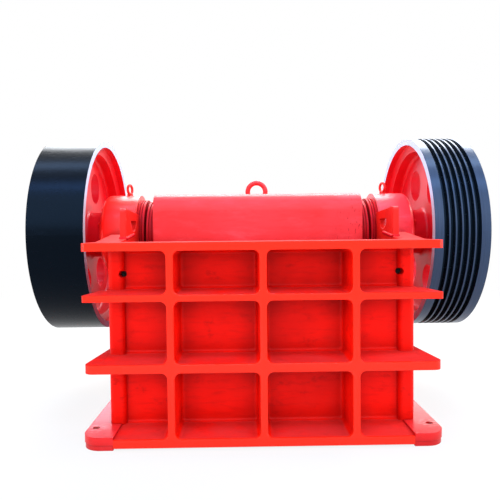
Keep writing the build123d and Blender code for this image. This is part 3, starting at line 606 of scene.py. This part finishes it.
@dataclass(frozen=True)
class RoughSteel:
    """Bare or blackened steel and iron, with rust in the hollows and a thread on the rods."""

    colour: Colour
    second: Colour
    rust: Colour = (0.19, 0.072, 0.03)
    thread_root: Colour = (0.035, 0.03, 0.028)
    rust_share: float = 0.3
    metal: float = 0.8
    roughness: float = 0.5
    rust_haze: float = 0.3
    lump_haze: float = 0.1
    lump_relief: float = 0.5
    lump_depth: float = 0.0003
    edge: float = 0.003
    thread_start: float | None = None
    thread_pitch: float = 0.0045
    thread_depth: float = 0.0022
    thread_fade: float = 0.001
    root_share: float = 0.5

    LUMPS = Grain(60.0, 4.0, roughness=0.6)
    RUST = Grain(16.0, 6.0, roughness=0.65, low=0.52, high=0.66)

    def paint(self, bench: ShaderBench) -> None:
        """Builds the nodes of the material.

        Args:
            bench: The material's bench.
        """
        lumps = bench.noise(self.LUMPS)
        rusty = bench.marks(self.RUST) * self.rust_share
        colour = bench.mix(rusty, bench.mix(lumps, self.colour, self.second), self.rust)
        normal = bench.bump(lumps, self.lump_depth, self.lump_relief, bench.rounded(self.edge))
        if self.thread_start is not None:
            _, y, _ = bench.parts(bench.place())
            half = self.thread_pitch / 2
            turns = bench.add("Math", {0: y, 1: half}, operation="PINGPONG")
            threaded = bench.band(y, self.thread_start, self.thread_start + self.thread_fade)
            cut = turns * (1 / half) * threaded
            normal = bench.bump(cut, self.thread_depth, under=normal)
            colour = bench.mix(cut * self.root_share, colour, self.thread_root)
        bench.surface({
            "Base Color": colour,
            "Roughness": self.roughness + self.rust_haze * rusty + self.lump_haze * lumps,
            "Metallic": self.metal - self.metal * rusty,
            "Normal": normal,
        })


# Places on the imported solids
WHEEL_LOW, WHEEL_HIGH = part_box("flywheel")
FRONT_Y, REAR_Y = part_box("front_wall")[0].y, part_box("rear_wall")[1].y
FOOT_HOLE_X, FOOT_HOLE_INSET, FOOT_TOP = 0.715, 0.119, 0.054
THREAD_START = REAR_Y + 0.03


class Finish(Enum):
    """The finishes of the machine, each with its recipe."""

    RIB_ENAMEL = CastEnamel(
        colour=(0.93, 0.0075, 0.002), specular=0.06, coat=0.03, edge=0.009,
        polished_front=FRONT_Y)
    FRAME_ENAMEL = CastEnamel(colour=(0.86, 0.012, 0.006), coat=0.22, coat_roughness=0.28)
    FOOT_ENAMEL = CastEnamel(
        colour=(0.84, 0.016, 0.017), film=(0.84, 0.066, 0.078), dust=(0.7, 0.05, 0.06),
        film_share=0.24, dust_share=0.26, coat=0.26, worn_spots=tuple(
            (side.value * FOOT_HOLE_X, y, FOOT_TOP)
            for side in Side for y in (FRONT_Y + FOOT_HOLE_INSET, REAR_Y - FOOT_HOLE_INSET)))
    # The guard's pink film is partly a painted sky sheen
    GUARD_ENAMEL = CastEnamel(
        colour=(0.92, 0.04, 0.046), deep=(0.9, 0.016, 0.012), film=(0.93, 0.078, 0.095),
        blot_share=0.06, film_share=0.5, dust_share=0.0, roughness=0.3, coat=0.1,
        coat_roughness=0.42, sand_depth=0.0002, wave_depth=0.001, brush_depth=0.0005,
        scratched_from=0.36)
    TURNED_ENAMEL = CastEnamel(
        colour=(0.96, 0.012, 0.006), deep=(0.84, 0.007, 0.004), blot_share=0.12,
        dust_share=0.0, roughness=0.32, coat=0.4, coat_roughness=0.3, sand_depth=0.0002,
        wave_depth=0.0005, brush_depth=0.0003, edge=0.003)
    # A pinker copy of the turned enamel for the right housing: painted sky sheen
    HAZY_TURNED_ENAMEL = replace(
        TURNED_ENAMEL, colour=(0.94, 0.036, 0.05), deep=(0.86, 0.018, 0.027),
        film=(0.94, 0.13, 0.18), film_share=0.5, roughness=0.34, coat=0.46,
        coat_roughness=0.32)
    # A darker copy of the turned enamel for the rings and lug welds: painted shade
    RING_ENAMEL = replace(
        TURNED_ENAMEL, colour=(0.78, 0.009, 0.02), deep=(0.54, 0.004, 0.01),
        blot_share=0.2, roughness=0.4, specular=0.05, coat=0.05, wave_depth=0.0004,
        edge=0.0015)
    FLYWHEEL_ENAMEL = WheelEnamel(
        axis_y=(WHEEL_LOW.y + WHEEL_HIGH.y) / 2, axis_z=(WHEEL_LOW.z + WHEEL_HIGH.z) / 2,
        tread_radius=(WHEEL_HIGH.z - WHEEL_LOW.z) / 2)
    SHEAVE_ENAMEL = replace(FLYWHEEL_ENAMEL, grooves=True, black=(0.003, 0.0058, 0.0095))
    TURNED_STEEL = TurnedSteel()
    MANGANESE_CASTING = RoughSteel(
        (0.16, 0.145, 0.135), (0.27, 0.25, 0.235), rust_share=0.55, roughness=0.42,
        lump_depth=0.0015)
    DARK_CASTING = RoughSteel(
        (0.045, 0.042, 0.04), (0.085, 0.078, 0.072), rust_share=0.35, metal=0.5,
        lump_depth=0.001)
    OILED_STEEL = RoughSteel(
        (0.1, 0.1, 0.105), (0.17, 0.168, 0.17), rust_share=0.15, roughness=0.34)
    THREADED_STEEL = RoughSteel(
        (0.13, 0.13, 0.135), (0.2, 0.195, 0.19), rust_share=0.18, roughness=0.32,
        thread_start=THREAD_START)
    BLACKENED_BOLT = RoughSteel(
        (0.006, 0.005, 0.005), (0.014, 0.012, 0.011), rust_share=0.0, metal=0.0,
        roughness=0.7, lump_depth=0.0002)
    ZINC_FASTENER = RoughSteel(
        (0.46, 0.46, 0.45), (0.34, 0.34, 0.33), rust_share=0.2, roughness=0.36,
        lump_depth=0.0002, edge=0.001)

    @cached_property
    def material(self) -> Material:
        """Gives the material, which is made when it is first asked for.

        Returns:
            The material.
        """
        material, bench = new_material(self.name.lower())
        self.value.paint(bench)
        return material

    def cover(self, piece: Piece) -> None:
        """Gives a piece this finish all over."""
        piece.data.materials.clear()
        piece.data.materials.append(self.material)


# Modelling helpers


def select_none() -> None:
    """Leaves object mode with nothing selected."""
    if bpy.context.object and bpy.context.object.mode != "OBJECT":
        bpy.ops.object.mode_set(mode="OBJECT")
    bpy.ops.object.select_all(action="DESELECT")


def settle(piece: Piece, name: str) -> Piece:
    """Names a piece and puts its place into its mesh.

    Args:
        piece: The piece, in object mode.
        name: Its name.

    Returns:
        The piece.
    """
    select_none()
    piece.select_set(True)
    bpy.context.view_layer.objects.active = piece
    bpy.ops.object.transform_apply(location=True, rotation=True, scale=True)
    bpy.ops.object.shade_smooth_by_angle(angle=SMOOTH_ANGLE)
    piece.name = name
    piece.data.name = name
    return piece


def join(pieces: list[Piece], name: str) -> Piece:
    """Joins pieces into one and settles it.

    Args:
        pieces: The pieces, one or more.
        name: The name of the joined piece.

    Returns:
        The joined piece.
    """
    select_none()
    for piece in pieces:
        piece.select_set(True)
    bpy.context.view_layer.objects.active = pieces[0]
    if len(pieces) > 1:
        bpy.ops.object.join()
    return settle(bpy.context.view_layer.objects.active, name)


def end_face(node: str, side: float) -> Vector:
    """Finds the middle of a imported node's face to one side.

    Args:
        node: The node's name.
        side: -1 for its left face, 1 for its right one.

    Returns:
        The point.
    """
    low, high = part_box(node)
    middle = (low + high) / 2
    middle.x = high.x if side > 0 else low.x
    return middle


def stand(point: Vector, axis: Vector) -> Matrix:
    """Gives the move from the origin to a point, with +Z turned to an axis."""
    return Matrix.Translation(point) @ axis.to_track_quat("Z", "Y").to_matrix().to_4x4()


def pick_top(piece: Piece) -> None:
    """Selects the upward faces of a piece and opens edit mode on it.

    Args:
        piece: The piece, in object mode.
    """
    bpy.context.view_layer.objects.active = piece
    bpy.ops.object.mode_set(mode="EDIT")
    bpy.ops.mesh.select_mode(type="FACE")
    bpy.ops.mesh.select_all(action="DESELECT")
    bpy.ops.object.mode_set(mode="OBJECT")
    for polygon in piece.data.polygons:
        polygon.select = polygon.normal.z > UPWARD
    bpy.ops.object.mode_set(mode="EDIT")


def turned_body(rings: Profile, sides: int) -> Piece:
    """Turns a closed body up from its foot, ring by ring.

    Args:
        rings: Radius and height of each ring, from the foot up.
        sides: Corners of each ring.

    Returns:
        The body, in object mode.
    """
    select_none()
    radius, height = rings[0]
    bpy.ops.mesh.primitive_circle_add(vertices=sides, radius=radius, fill_type="NGON",
                                      location=(0, 0, height))
    body = bpy.context.object
    bpy.ops.object.transform_apply(location=True, rotation=True, scale=True)
    bpy.ops.object.mode_set(mode="EDIT")
    bpy.ops.mesh.select_all(action="SELECT")
    for next_radius, next_height in rings[1:]:
        bpy.ops.mesh.extrude_region_move(
            TRANSFORM_OT_translate={"value": (0, 0, next_height - height)})
        scale = next_radius / radius
        bpy.ops.transform.resize(value=(scale, scale, 1), center_override=(0, 0, next_height))
        radius, height = next_radius, next_height
    bpy.ops.mesh.select_all(action="SELECT")
    bpy.ops.mesh.normals_make_consistent(inside=False)
    bpy.ops.object.mode_set(mode="OBJECT")
    return body


@dataclass(frozen=True)
class BoltKit:
    """A hexagon head or nut on a washer, drawn at the origin and pointing up."""

    across_flats: float
    head: float
    washer: float = 0.003
    stud: float = 0.0

    CHAMFER, CROWN, CROWN_RISE = 0.9, 0.62, 0.02
    DISH_WIDTH, DISH_DEPTH = 0.08, 0.04
    WASHER_RIM, WASHER_LIP, WASHER_TOP = 1.3, 0.7, 0.96
    STUD_RADIUS, STUD_TIP = 0.31, 0.78
    HEAD_SIDES, WASHER_SIDES, STUD_SIDES = 6, 24, 16

    def model(self) -> Piece:
        """Models the chamfered hexagon, its washer and, on a nut, the stud's end.

        Returns:
            The bolt.
        """
        corner = self.across_flats / (2 * cos(pi / 6))
        foot, top = self.washer, self.washer + self.head
        head = turned_body((
            (corner, foot), (corner, top - corner * (1 - self.CHAMFER)),
            (corner * self.CHAMFER, top),
            (corner * self.CROWN, top + corner * self.CROWN_RISE)), self.HEAD_SIDES)
        pick_top(head)
        bpy.ops.mesh.inset(thickness=corner * self.DISH_WIDTH, depth=-corner * self.DISH_DEPTH)
        bpy.ops.object.mode_set(mode="OBJECT")
        rim = corner * self.WASHER_RIM
        washer = turned_body(((rim, 0.0), (rim, self.washer * self.WASHER_LIP),
                              (rim * self.WASHER_TOP, self.washer)), self.WASHER_SIDES)
        pieces = [head, washer]
        if self.stud:
            thread = self.across_flats * self.STUD_RADIUS
            end = top + self.stud
            pieces.append(turned_body((
                (thread, top - self.head / 2), (thread, end - thread / 4),
                (thread * self.STUD_TIP, end)), self.STUD_SIDES))
        return join(pieces, "bolt_pattern_piece")

    def spread(self, places: list[Bolt], name: str) -> Piece:
        """Puts one bolt at each place.

        Args:
            places: Point on the surface, outward axis and turn about it.
            name: The name of the joined piece.

        Returns:
            The joined piece.
        """
        pattern = self.model()
        twins = []
        for point, axis, turn in places:
            twin = pattern.copy()
            twin.data = pattern.data.copy()
            twin.matrix_world = stand(point, axis) @ Matrix.Rotation(turn, 4, "Z")
            bpy.context.scene.collection.objects.link(twin)
            twins.append(twin)
        bpy.data.objects.remove(pattern)
        return join(twins, name)


@dataclass(frozen=True)
class WeldBead:
    """A hand-laid fillet weld, with the ripples that the torch leaves."""

    leg: float = 0.008
    ripple: float = 0.007

    END, VALLEY = 0.35, 0.86
    VALLEY_BEFORE, CREST_AFTER = 0.3, 0.1
    SWELLS = ((0.12, 2.4), (0.06, 0.9))
    FEWEST_RIPPLES, BEAD_SIDES = 4, 10

    def lay(self, start: Vector, end: Vector) -> Piece:
        """Lays one straight bead.

        Args:
            start: One end of the joint.
            end: The other end.

        Returns:
            The bead, in object mode, with its place not yet applied.
        """
        run = end - start
        count = max(self.FEWEST_RIPPLES, round(run.length / self.ripple))
        rings = [(self.leg * self.END, 0.0)]
        for number in range(count):
            middle = run.length * (number + 0.5) / count
            radius = self.leg * (1.0 + sum(share * sin(number * rate)
                                           for share, rate in self.SWELLS))
            rings += [(radius * self.VALLEY, middle - self.ripple * self.VALLEY_BEFORE),
                      (radius, middle + self.ripple * self.CREST_AFTER)]
        rings.append((self.leg * self.END, run.length))
        bead = turned_body(tuple(rings), self.BEAD_SIDES)
        bead.matrix_world = stand(start, run)
        return bead


def ring_places(centre: Vector, axis: Vector, radius: float, count: int,
                start: float = 0.0) -> list[Bolt]:
    """Spaces bolts evenly on a circle about an axis along X.

    Args:
        centre: Middle of the circle, on the seat.
        axis: Outward direction, +X or -X.
        radius: Radius of the circle.
        count: Number of bolts.
        start: Angle of the first bolt.

    Returns:
        The places.
    """
    angles = [start + 2 * pi * number / count for number in range(count)]
    return [(centre + radius * Vector((0, cos(angle), sin(angle))), axis, angle * HEAD_TURN)
            for angle in angles]


# Sub-assemblies


class Assembly:
    """A sub-assembly, and how it dresses its pieces."""

    def keep(self, finish: Finish, *nodes: str) -> None:
        """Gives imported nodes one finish.

        Args:
            finish: The finish.
            nodes: The nodes.
        """
        for node in nodes:
            finish.cover(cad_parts[node])
            LOG.info("node %s: %s", node, finish.name)

    def add(self, piece: Piece, finish: Finish, body: Body = Body.FRAME,
            slot: Slot = Slot.DARK) -> None:
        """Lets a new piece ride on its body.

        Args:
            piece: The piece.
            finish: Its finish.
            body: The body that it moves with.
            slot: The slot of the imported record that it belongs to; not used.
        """
        finish.cover(piece)
        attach(piece, body.value)
        LOG.info("piece %s on %s: %s", piece.name, body.value, finish.name)


@dataclass
class CastFrame(Assembly):
    """Front and rear walls, side walls, foot rails and lifting lugs."""

    cheek_nut: BoltKit = BoltKit(0.036, 0.018, 0.004, 0.016)
    cheek_nut_places: Profile = (
        (-0.5, 0.7), (-0.34, 0.7), (-0.5, 0.43), (-0.385, 0.43))
    cheek_nut_turn: float = 0.4
    wall_thickness: float = 0.043
    wall_depth: float = 0.23
    saddle_front: float = 0.134
    ledge_rise: float = 0.032
    weld_inset: float = 0.004
    jaw_bolt_place: tuple[float, float] = (0.60425, 0.707)
    jaw_bolt_depth: float = 0.225
    jaw_bolt_sides: int = 18
    jaw_bolt_profile: Profile = (
        (0.013, 0.0), (0.013, 0.018), (0.0116, 0.02), (0.008, 0.02),
        (0.0072, 0.011), (0.003, 0.01))

    def dress(self) -> None:
        """Gives the castings their enamel and adds nuts, jaw bolts and welds."""
        self.keep(Finish.RIB_ENAMEL, "front_wall")
        self.keep(Finish.FRAME_ENAMEL, "rear_wall")
        for side in Side:
            self.keep(Finish.FRAME_ENAMEL, f"side_wall_{side}", f"lifting_lug_{side}")
            self.keep(Finish.FOOT_ENAMEL, f"foot_rail_{side}")
            self.add_jaw_bolt(side)
            self.add_cheek_nuts(side)
            self.add_lug_welds(side)

    def add_jaw_bolt(self, side: Side) -> None:
        """Sinks the bolt that holds the fixed jaw into one corner column's hole.

        Args:
            side: The side.
        """
        x, z = self.jaw_bolt_place
        foot = Vector((side.value * x, FRONT_Y + self.jaw_bolt_depth, z))
        bolt = turned_body(self.jaw_bolt_profile, self.jaw_bolt_sides)
        bolt.matrix_world = stand(foot, -BACK)
        settle(bolt, f"jaw_bolt_{side}")
        self.add(bolt, Finish.BLACKENED_BOLT)

    def add_cheek_nuts(self, side: Side) -> None:
        """Adds the nuts of the cheek plate's bolts outside one side wall.

        Args:
            side: The side.
        """
        inner_face = end_face(f"lifting_lug_{side}", -side.value)
        wall_face = inner_face.x + side.value * self.wall_thickness
        places = [(Vector((wall_face, y, z)), side.outward, self.cheek_nut_turn * number)
                  for number, (y, z) in enumerate(self.cheek_nut_places)]
        nuts = self.cheek_nut.spread(places, f"cheek_nuts_{side}")
        self.add(nuts, Finish.OILED_STEEL)

    def add_lug_welds(self, side: Side) -> None:
        """Lays the welds that hold one lifting lug on the top ledge.

        Args:
            side: The side.
        """
        low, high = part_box(f"lifting_lug_{side}")
        _, wall_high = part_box("front_wall")
        housing_low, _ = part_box(f"bearing_housing_{side}")
        ledge_front = FRONT_Y + self.wall_depth
        ledge_back = housing_low.y - self.saddle_front
        share = (low.y - ledge_front) / (ledge_back - ledge_front)
        foot_z = wall_high.z + share * self.ledge_rise
        seams = [(Vector((x, low.y + self.weld_inset, foot_z)),
                  Vector((x, ledge_back, wall_high.z + self.ledge_rise)))
                 for x in (low.x, high.x)]
        seams.append((Vector((low.x, low.y, foot_z)), Vector((high.x, low.y, foot_z))))
        welds = join([WeldBead().lay(start, end) for start, end in seams], f"lug_welds_{side}")
        # The welds take the darker ring enamel, which is painted shade
        self.add(welds, Finish.RING_ENAMEL, slot=Slot.RED)


@dataclass
class Bearings(Assembly):
    """Housings, covers, dust rings, eyebolts and grease fittings."""

    cover_bolt: BoltKit = BoltKit(0.022, 0.009, 0.002)
    cover_bolt_inset: float = 0.016
    cover_bolt_start: float = 0.39
    cover_bolts: int = 8
    fitting_inset: float = 0.052
    fitting_lean: float = 0.95
    fitting_sink: float = 0.001
    collar_sides: int = 6
    collar_profile: Profile = ((0.01, 0.0), (0.01, 0.008), (0.009, 0.0095))
    nipple_sides: int = 14
    nipple_profile: Profile = (
        (0.0055, 0.008), (0.0055, 0.014), (0.0036, 0.016), (0.0036, 0.019),
        (0.0052, 0.021), (0.0048, 0.025), (0.0022, 0.0268))

    # The right housing takes the pinker copy, which is painted sheen
    HOUSING_FINISH = {Side.LEFT: Finish.TURNED_ENAMEL, Side.RIGHT: Finish.HAZY_TURNED_ENAMEL}

    def dress(self) -> None:
        """Dresses both bearings."""
        for side in Side:
            self.keep(self.HOUSING_FINISH[side], f"bearing_housing_{side}")
            self.keep(Finish.TURNED_ENAMEL, f"bearing_cover_{side}")
            self.keep(Finish.RING_ENAMEL, f"housing_ring_{side}", f"pitman_ring_{side}")
            self.keep(Finish.FRAME_ENAMEL, f"housing_eyebolt_{side}")
            self.add_cover_bolts(side)
            self.add_fitting(side)

    def add_cover_bolts(self, side: Side) -> None:
        """Adds the ring of bolts in one bearing cover.

        Args:
            side: The side.
        """
        low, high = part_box(f"bearing_cover_{side}")
        circle = (high.z - low.z) / 2 - self.cover_bolt_inset
        centre = end_face(f"bearing_cover_{side}", side.value)
        places = ring_places(centre, side.outward, circle, self.cover_bolts,
                             self.cover_bolt_start)
        bolts = self.cover_bolt.spread(places, f"cover_bolts_{side}")
        self.add(bolts, Finish.TURNED_ENAMEL, slot=Slot.RED)

    def add_fitting(self, side: Side) -> None:
        """Adds the grease fitting behind the crown of one housing, near its outer end.

        Args:
            side: The side.
        """
        _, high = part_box(f"bearing_housing_{side}")
        place = end_face(f"bearing_cover_{side}", side.value)
        axis = Vector((0, sin(self.fitting_lean), cos(self.fitting_lean)))
        reach = high.z - place.z - self.fitting_sink
        outer_x = end_face(f"bearing_housing_{side}", side.value).x
        place.x = outer_x - side.value * self.fitting_inset
        collar = turned_body(self.collar_profile, self.collar_sides)
        nipple = turned_body(self.nipple_profile, self.nipple_sides)
        fitting = join([collar, nipple], f"grease_fitting_{side}")
        fitting.matrix_world = stand(place + axis * reach, axis)
        settle(fitting, fitting.name)
        self.add(fitting, Finish.ZINC_FASTENER)


@dataclass
class Rotor(Assembly):
    """Shaft, flywheel, sheave and end caps."""

    cap_bolt: BoltKit = BoltKit(0.03, 0.0125)
    cap_bolt_circle: float = 0.072
    cap_bolts: int = 6

    def dress(self) -> None:
        """Dresses the rotor and adds the cap bolts."""
        self.keep(Finish.TURNED_STEEL, "eccentric_shaft")
        self.keep(Finish.FLYWHEEL_ENAMEL, "flywheel")
        self.keep(Finish.SHEAVE_ENAMEL, "drive_sheave")
        for side in Side:
            node = f"shaft_end_cap_{side}"
            self.keep(Finish.TURNED_ENAMEL, node)
            places = ring_places(end_face(node, side.value), side.outward,
                                 self.cap_bolt_circle, self.cap_bolts)
            bolts = self.cap_bolt.spread(places, f"cap_bolts_{side}")
            self.add(bolts, Finish.ZINC_FASTENER, Body.ROTOR)


@dataclass
class SwingJaw(Assembly):
    """The pitman with its guard, eye, jaw plate and clamp bar."""

    clamp_bolt: BoltKit = BoltKit(0.03, 0.0045, 0.002)
    clamp_bolt_spacing: float = 0.24
    clamp_bolt_share: float = 0.46
    clamp_bolt_turn: float = 0.5
    clamp_bolts: int = 5

    def dress(self) -> None:
        """Dresses what swings with the pitman."""
        self.keep(Finish.FRAME_ENAMEL, "pitman", "pitman_head")
        self.keep(Finish.GUARD_ENAMEL, "pitman_guard", "pitman_eye")
        self.keep(Finish.MANGANESE_CASTING, "moving_jaw_plate")
        self.keep(Finish.DARK_CASTING, "jaw_clamp_bar", "front_toggle_seat")
        self.add_clamp_bolts()

    def add_clamp_bolts(self) -> None:
        """Adds the bolts along the top of the clamp bar."""
        low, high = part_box("jaw_clamp_bar")
        middle = (self.clamp_bolts - 1) / 2
        y = low.y + (high.y - low.y) * self.clamp_bolt_share
        places = [(Vector(((number - middle) * self.clamp_bolt_spacing, y, high.z)), UP,
                   self.clamp_bolt_turn * number) for number in range(self.clamp_bolts)]
        bolts = self.clamp_bolt.spread(places, "clamp_bolts")
        self.add(bolts, Finish.FRAME_ENAMEL, Body.PITMAN)


@dataclass
class Chamber(Assembly):
    """Fixed jaw and cheek plates."""

    def dress(self) -> None:
        """Dresses the wear plates."""
        self.keep(Finish.MANGANESE_CASTING, "fixed_jaw_plate", "cheek_plate_left",
                  "cheek_plate_right")


@dataclass
class ToggleGear(Assembly):
    """Toggle plate, seats, shims, tension rods and springs."""

    lock_nut: BoltKit = BoltKit(0.058, 0.018, 0.0005)
    lock_nut_turn: float = 0.3
    seat_bolt: BoltKit = BoltKit(0.036, 0.015, 0.004)
    seat_bolt_x: tuple[float, ...] = (-0.12, 0.12)
    seat_bolt_z: tuple[float, ...] = (0.17, 0.27)
    panel_depth: float = 0.175

    def dress(self) -> None:
        """Dresses the toggle and tension gear."""
        self.keep(Finish.DARK_CASTING, "toggle_plate", "rear_toggle_seat", "adjusting_shims")
        for side in Side:
            self.keep(Finish.THREADED_STEEL, f"tension_rod_{side}")
            self.keep(Finish.OILED_STEEL, f"tension_spring_{side}", f"spring_nut_{side}")
            low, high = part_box(f"spring_nut_{side}")
            place = Vector(((low.x + high.x) / 2, high.y, (low.z + high.z) / 2))
            nut = self.lock_nut.spread([(place, BACK, self.lock_nut_turn)], f"lock_nut_{side}")
            self.add(nut, Finish.OILED_STEEL)
        self.add_seat_bolts()

    def add_seat_bolts(self) -> None:
        """Adds the bolts that hold the rear toggle seat through the rear panel."""
        face = REAR_Y - self.panel_depth
        places = [(Vector((x, face, z)), BACK, x + z)
                  for x in self.seat_bolt_x for z in self.seat_bolt_z]
        bolts = self.seat_bolt.spread(places, "seat_bolts")
        self.add(bolts, Finish.OILED_STEEL)


# Camera, lamps, floor and background


@dataclass(frozen=True)
class Viewpoint:
    """The photograph's viewing angle."""

    focal_pixels: float = 533.3
    sensor_width: float = 36.0
    clip_end: float = 100.0
    place: Triple = (-0.0807, -2.9963, 0.8823)
    down: float = 0.0328
    right: float = 0.0134
    roll: float = 0.0102

    def build(self) -> None:
        """Makes the camera and sets it as the scene's."""
        data = bpy.data.cameras.new("viewpoint")
        data.sensor_width = self.sensor_width
        data.lens = self.focal_pixels * self.sensor_width / IMAGE_SIDE
        data.clip_end = self.clip_end
        camera = bpy.data.objects.new("viewpoint", data)
        bpy.context.scene.collection.objects.link(camera)
        turn = (Matrix.Rotation(-self.right, 4, "Z")
                @ Matrix.Rotation(pi / 2 - self.down, 4, "X")
                @ Matrix.Rotation(-self.roll, 4, "Z"))
        camera.matrix_world = Matrix.Translation(self.place) @ turn
        bpy.context.scene.camera = camera


@dataclass(frozen=True)
class Lamp:
    """A rectangular soft lamp that points at a spot."""

    name: str
    place: Triple
    aim: Triple
    width: float
    height: float
    radiance: float
    colour: Colour = WHITE

    def build(self) -> None:
        """Makes the lamp."""
        data = bpy.data.lights.new(self.name, "AREA")
        data.shape = "RECTANGLE"
        data.size = self.width
        data.size_y = self.height
        data.energy = self.radiance * pi * self.width * self.height
        data.color = self.colour
        lamp = bpy.data.objects.new(self.name, data)
        bpy.context.scene.collection.objects.link(lamp)
        place = Vector(self.place)
        lamp.matrix_world = stand(place, place - Vector(self.aim))
        lamp.visible_camera = False


@dataclass(frozen=True)
class Studio:
    """Floor, white background and lamps."""

    floor_side: float = 60.0
    floor_drop: float = 0.0005
    floor_colour: Colour = (0.68, 0.66, 0.63)
    floor_white: float = 0.84
    white_from: float = 2.0
    all_white_from: float = 6.0
    ambient: float = 0.45
    lamps: tuple[Lamp, ...] = (
        Lamp("front_sky", (-0.5, -5.3, 3.6), (0.0, 0.0, 0.6), 8.0, 4.2, 2.8, (0.66, 0.82, 1.0)),
        Lamp("high_sky", (0.0, -3.2, 5.6), (0.0, -0.2, 0.8), 7.5, 0.9, 11.0, (0.34, 0.57, 1.0)),
        Lamp("canopy", (0.0, -0.4, 5.6), (0.0, -0.3, 0.8), 7.5, 0.7, 11.0, (0.5, 0.7, 1.0)),
        Lamp("crown", (0.4, 3.2, 4.8), (0.0, 0.0, 1.0), 7.0, 2.4, 12.0, (0.96, 0.98, 1.0)),
        Lamp("side_left", (-5.2, -3.6, 1.9), (0.0, -0.6, 0.6), 3.4, 3.0, 4.0),
        Lamp("side_right", (5.2, -3.6, 1.9), (0.0, -0.6, 0.6), 3.4, 3.0, 4.7),
        Lamp("back_left", (-3.0, 5.6, 2.4), (0.6, 0.0, 0.9), 2.4, 2.4, 6.0, (0.84, 0.82, 1.0)),
        Lamp("back_right", (3.0, 5.6, 2.4), (-0.6, 0.0, 0.9), 2.4, 2.4, 4.5),
        Lamp("sun", (5.0, 1.2, 3.8), (0.0, 0.0, 0.7), 0.8, 0.8, 50.0, (1.0, 0.91, 0.8)),
    )

    def build(self) -> None:
        """Builds the studio."""
        self.build_floor()
        self.build_world()
        for lamp in self.lamps:
            lamp.build()

    def build_floor(self) -> None:
        """Lays a pale floor that keeps the machine's shadow."""
        select_none()
        bpy.ops.mesh.primitive_plane_add(size=self.floor_side, location=(0, 0, -self.floor_drop))
        floor = settle(bpy.context.object, "floor")
        material, bench = new_material("pale_floor")
        x, y, _ = bench.parts(bench.place())
        far = bench.band((x * x + y * y).power(0.5), self.white_from, self.all_white_from)
        share = bench.seen() * (self.floor_white + (1.0 - self.floor_white) * far)
        matte = bench.add("BsdfDiffuse", {"Color": self.floor_colour})
        white = bench.add("Emission", {"Color": WHITE})
        shader = bench.add("MixShader", {0: share, 1: matte, 2: white})
        bench.node("OutputMaterial", {"Surface": shader})
        floor.data.materials.append(material)

    def build_world(self) -> None:
        """Makes the world white to the eye and plain to the lamps."""
        world = bpy.data.worlds.new("white_studio")
        world.use_nodes = True
        bpy.context.scene.world = world
        bench = ShaderBench(world.node_tree)
        lit = bench.add("Background", {"Color": WHITE, "Strength": self.ambient})
        shown = bench.add("Background", {"Color": WHITE})
        shader = bench.add("MixShader", {0: bench.seen(), 1: lit, 2: shown})
        bench.node("OutputWorld", {"Surface": shader})


def main() -> None:
    """Builds everything in order."""
    logging.basicConfig(level=logging.INFO, format="%(message)s")
    bpy.context.scene.view_settings.view_transform = "Standard"
    for assembly in (CastFrame, Bearings, Rotor, SwingJaw, Chamber, ToggleGear):
        assembly().dress()
    Studio().build()
    Viewpoint().build()


if __name__ == "__main__":
    main()
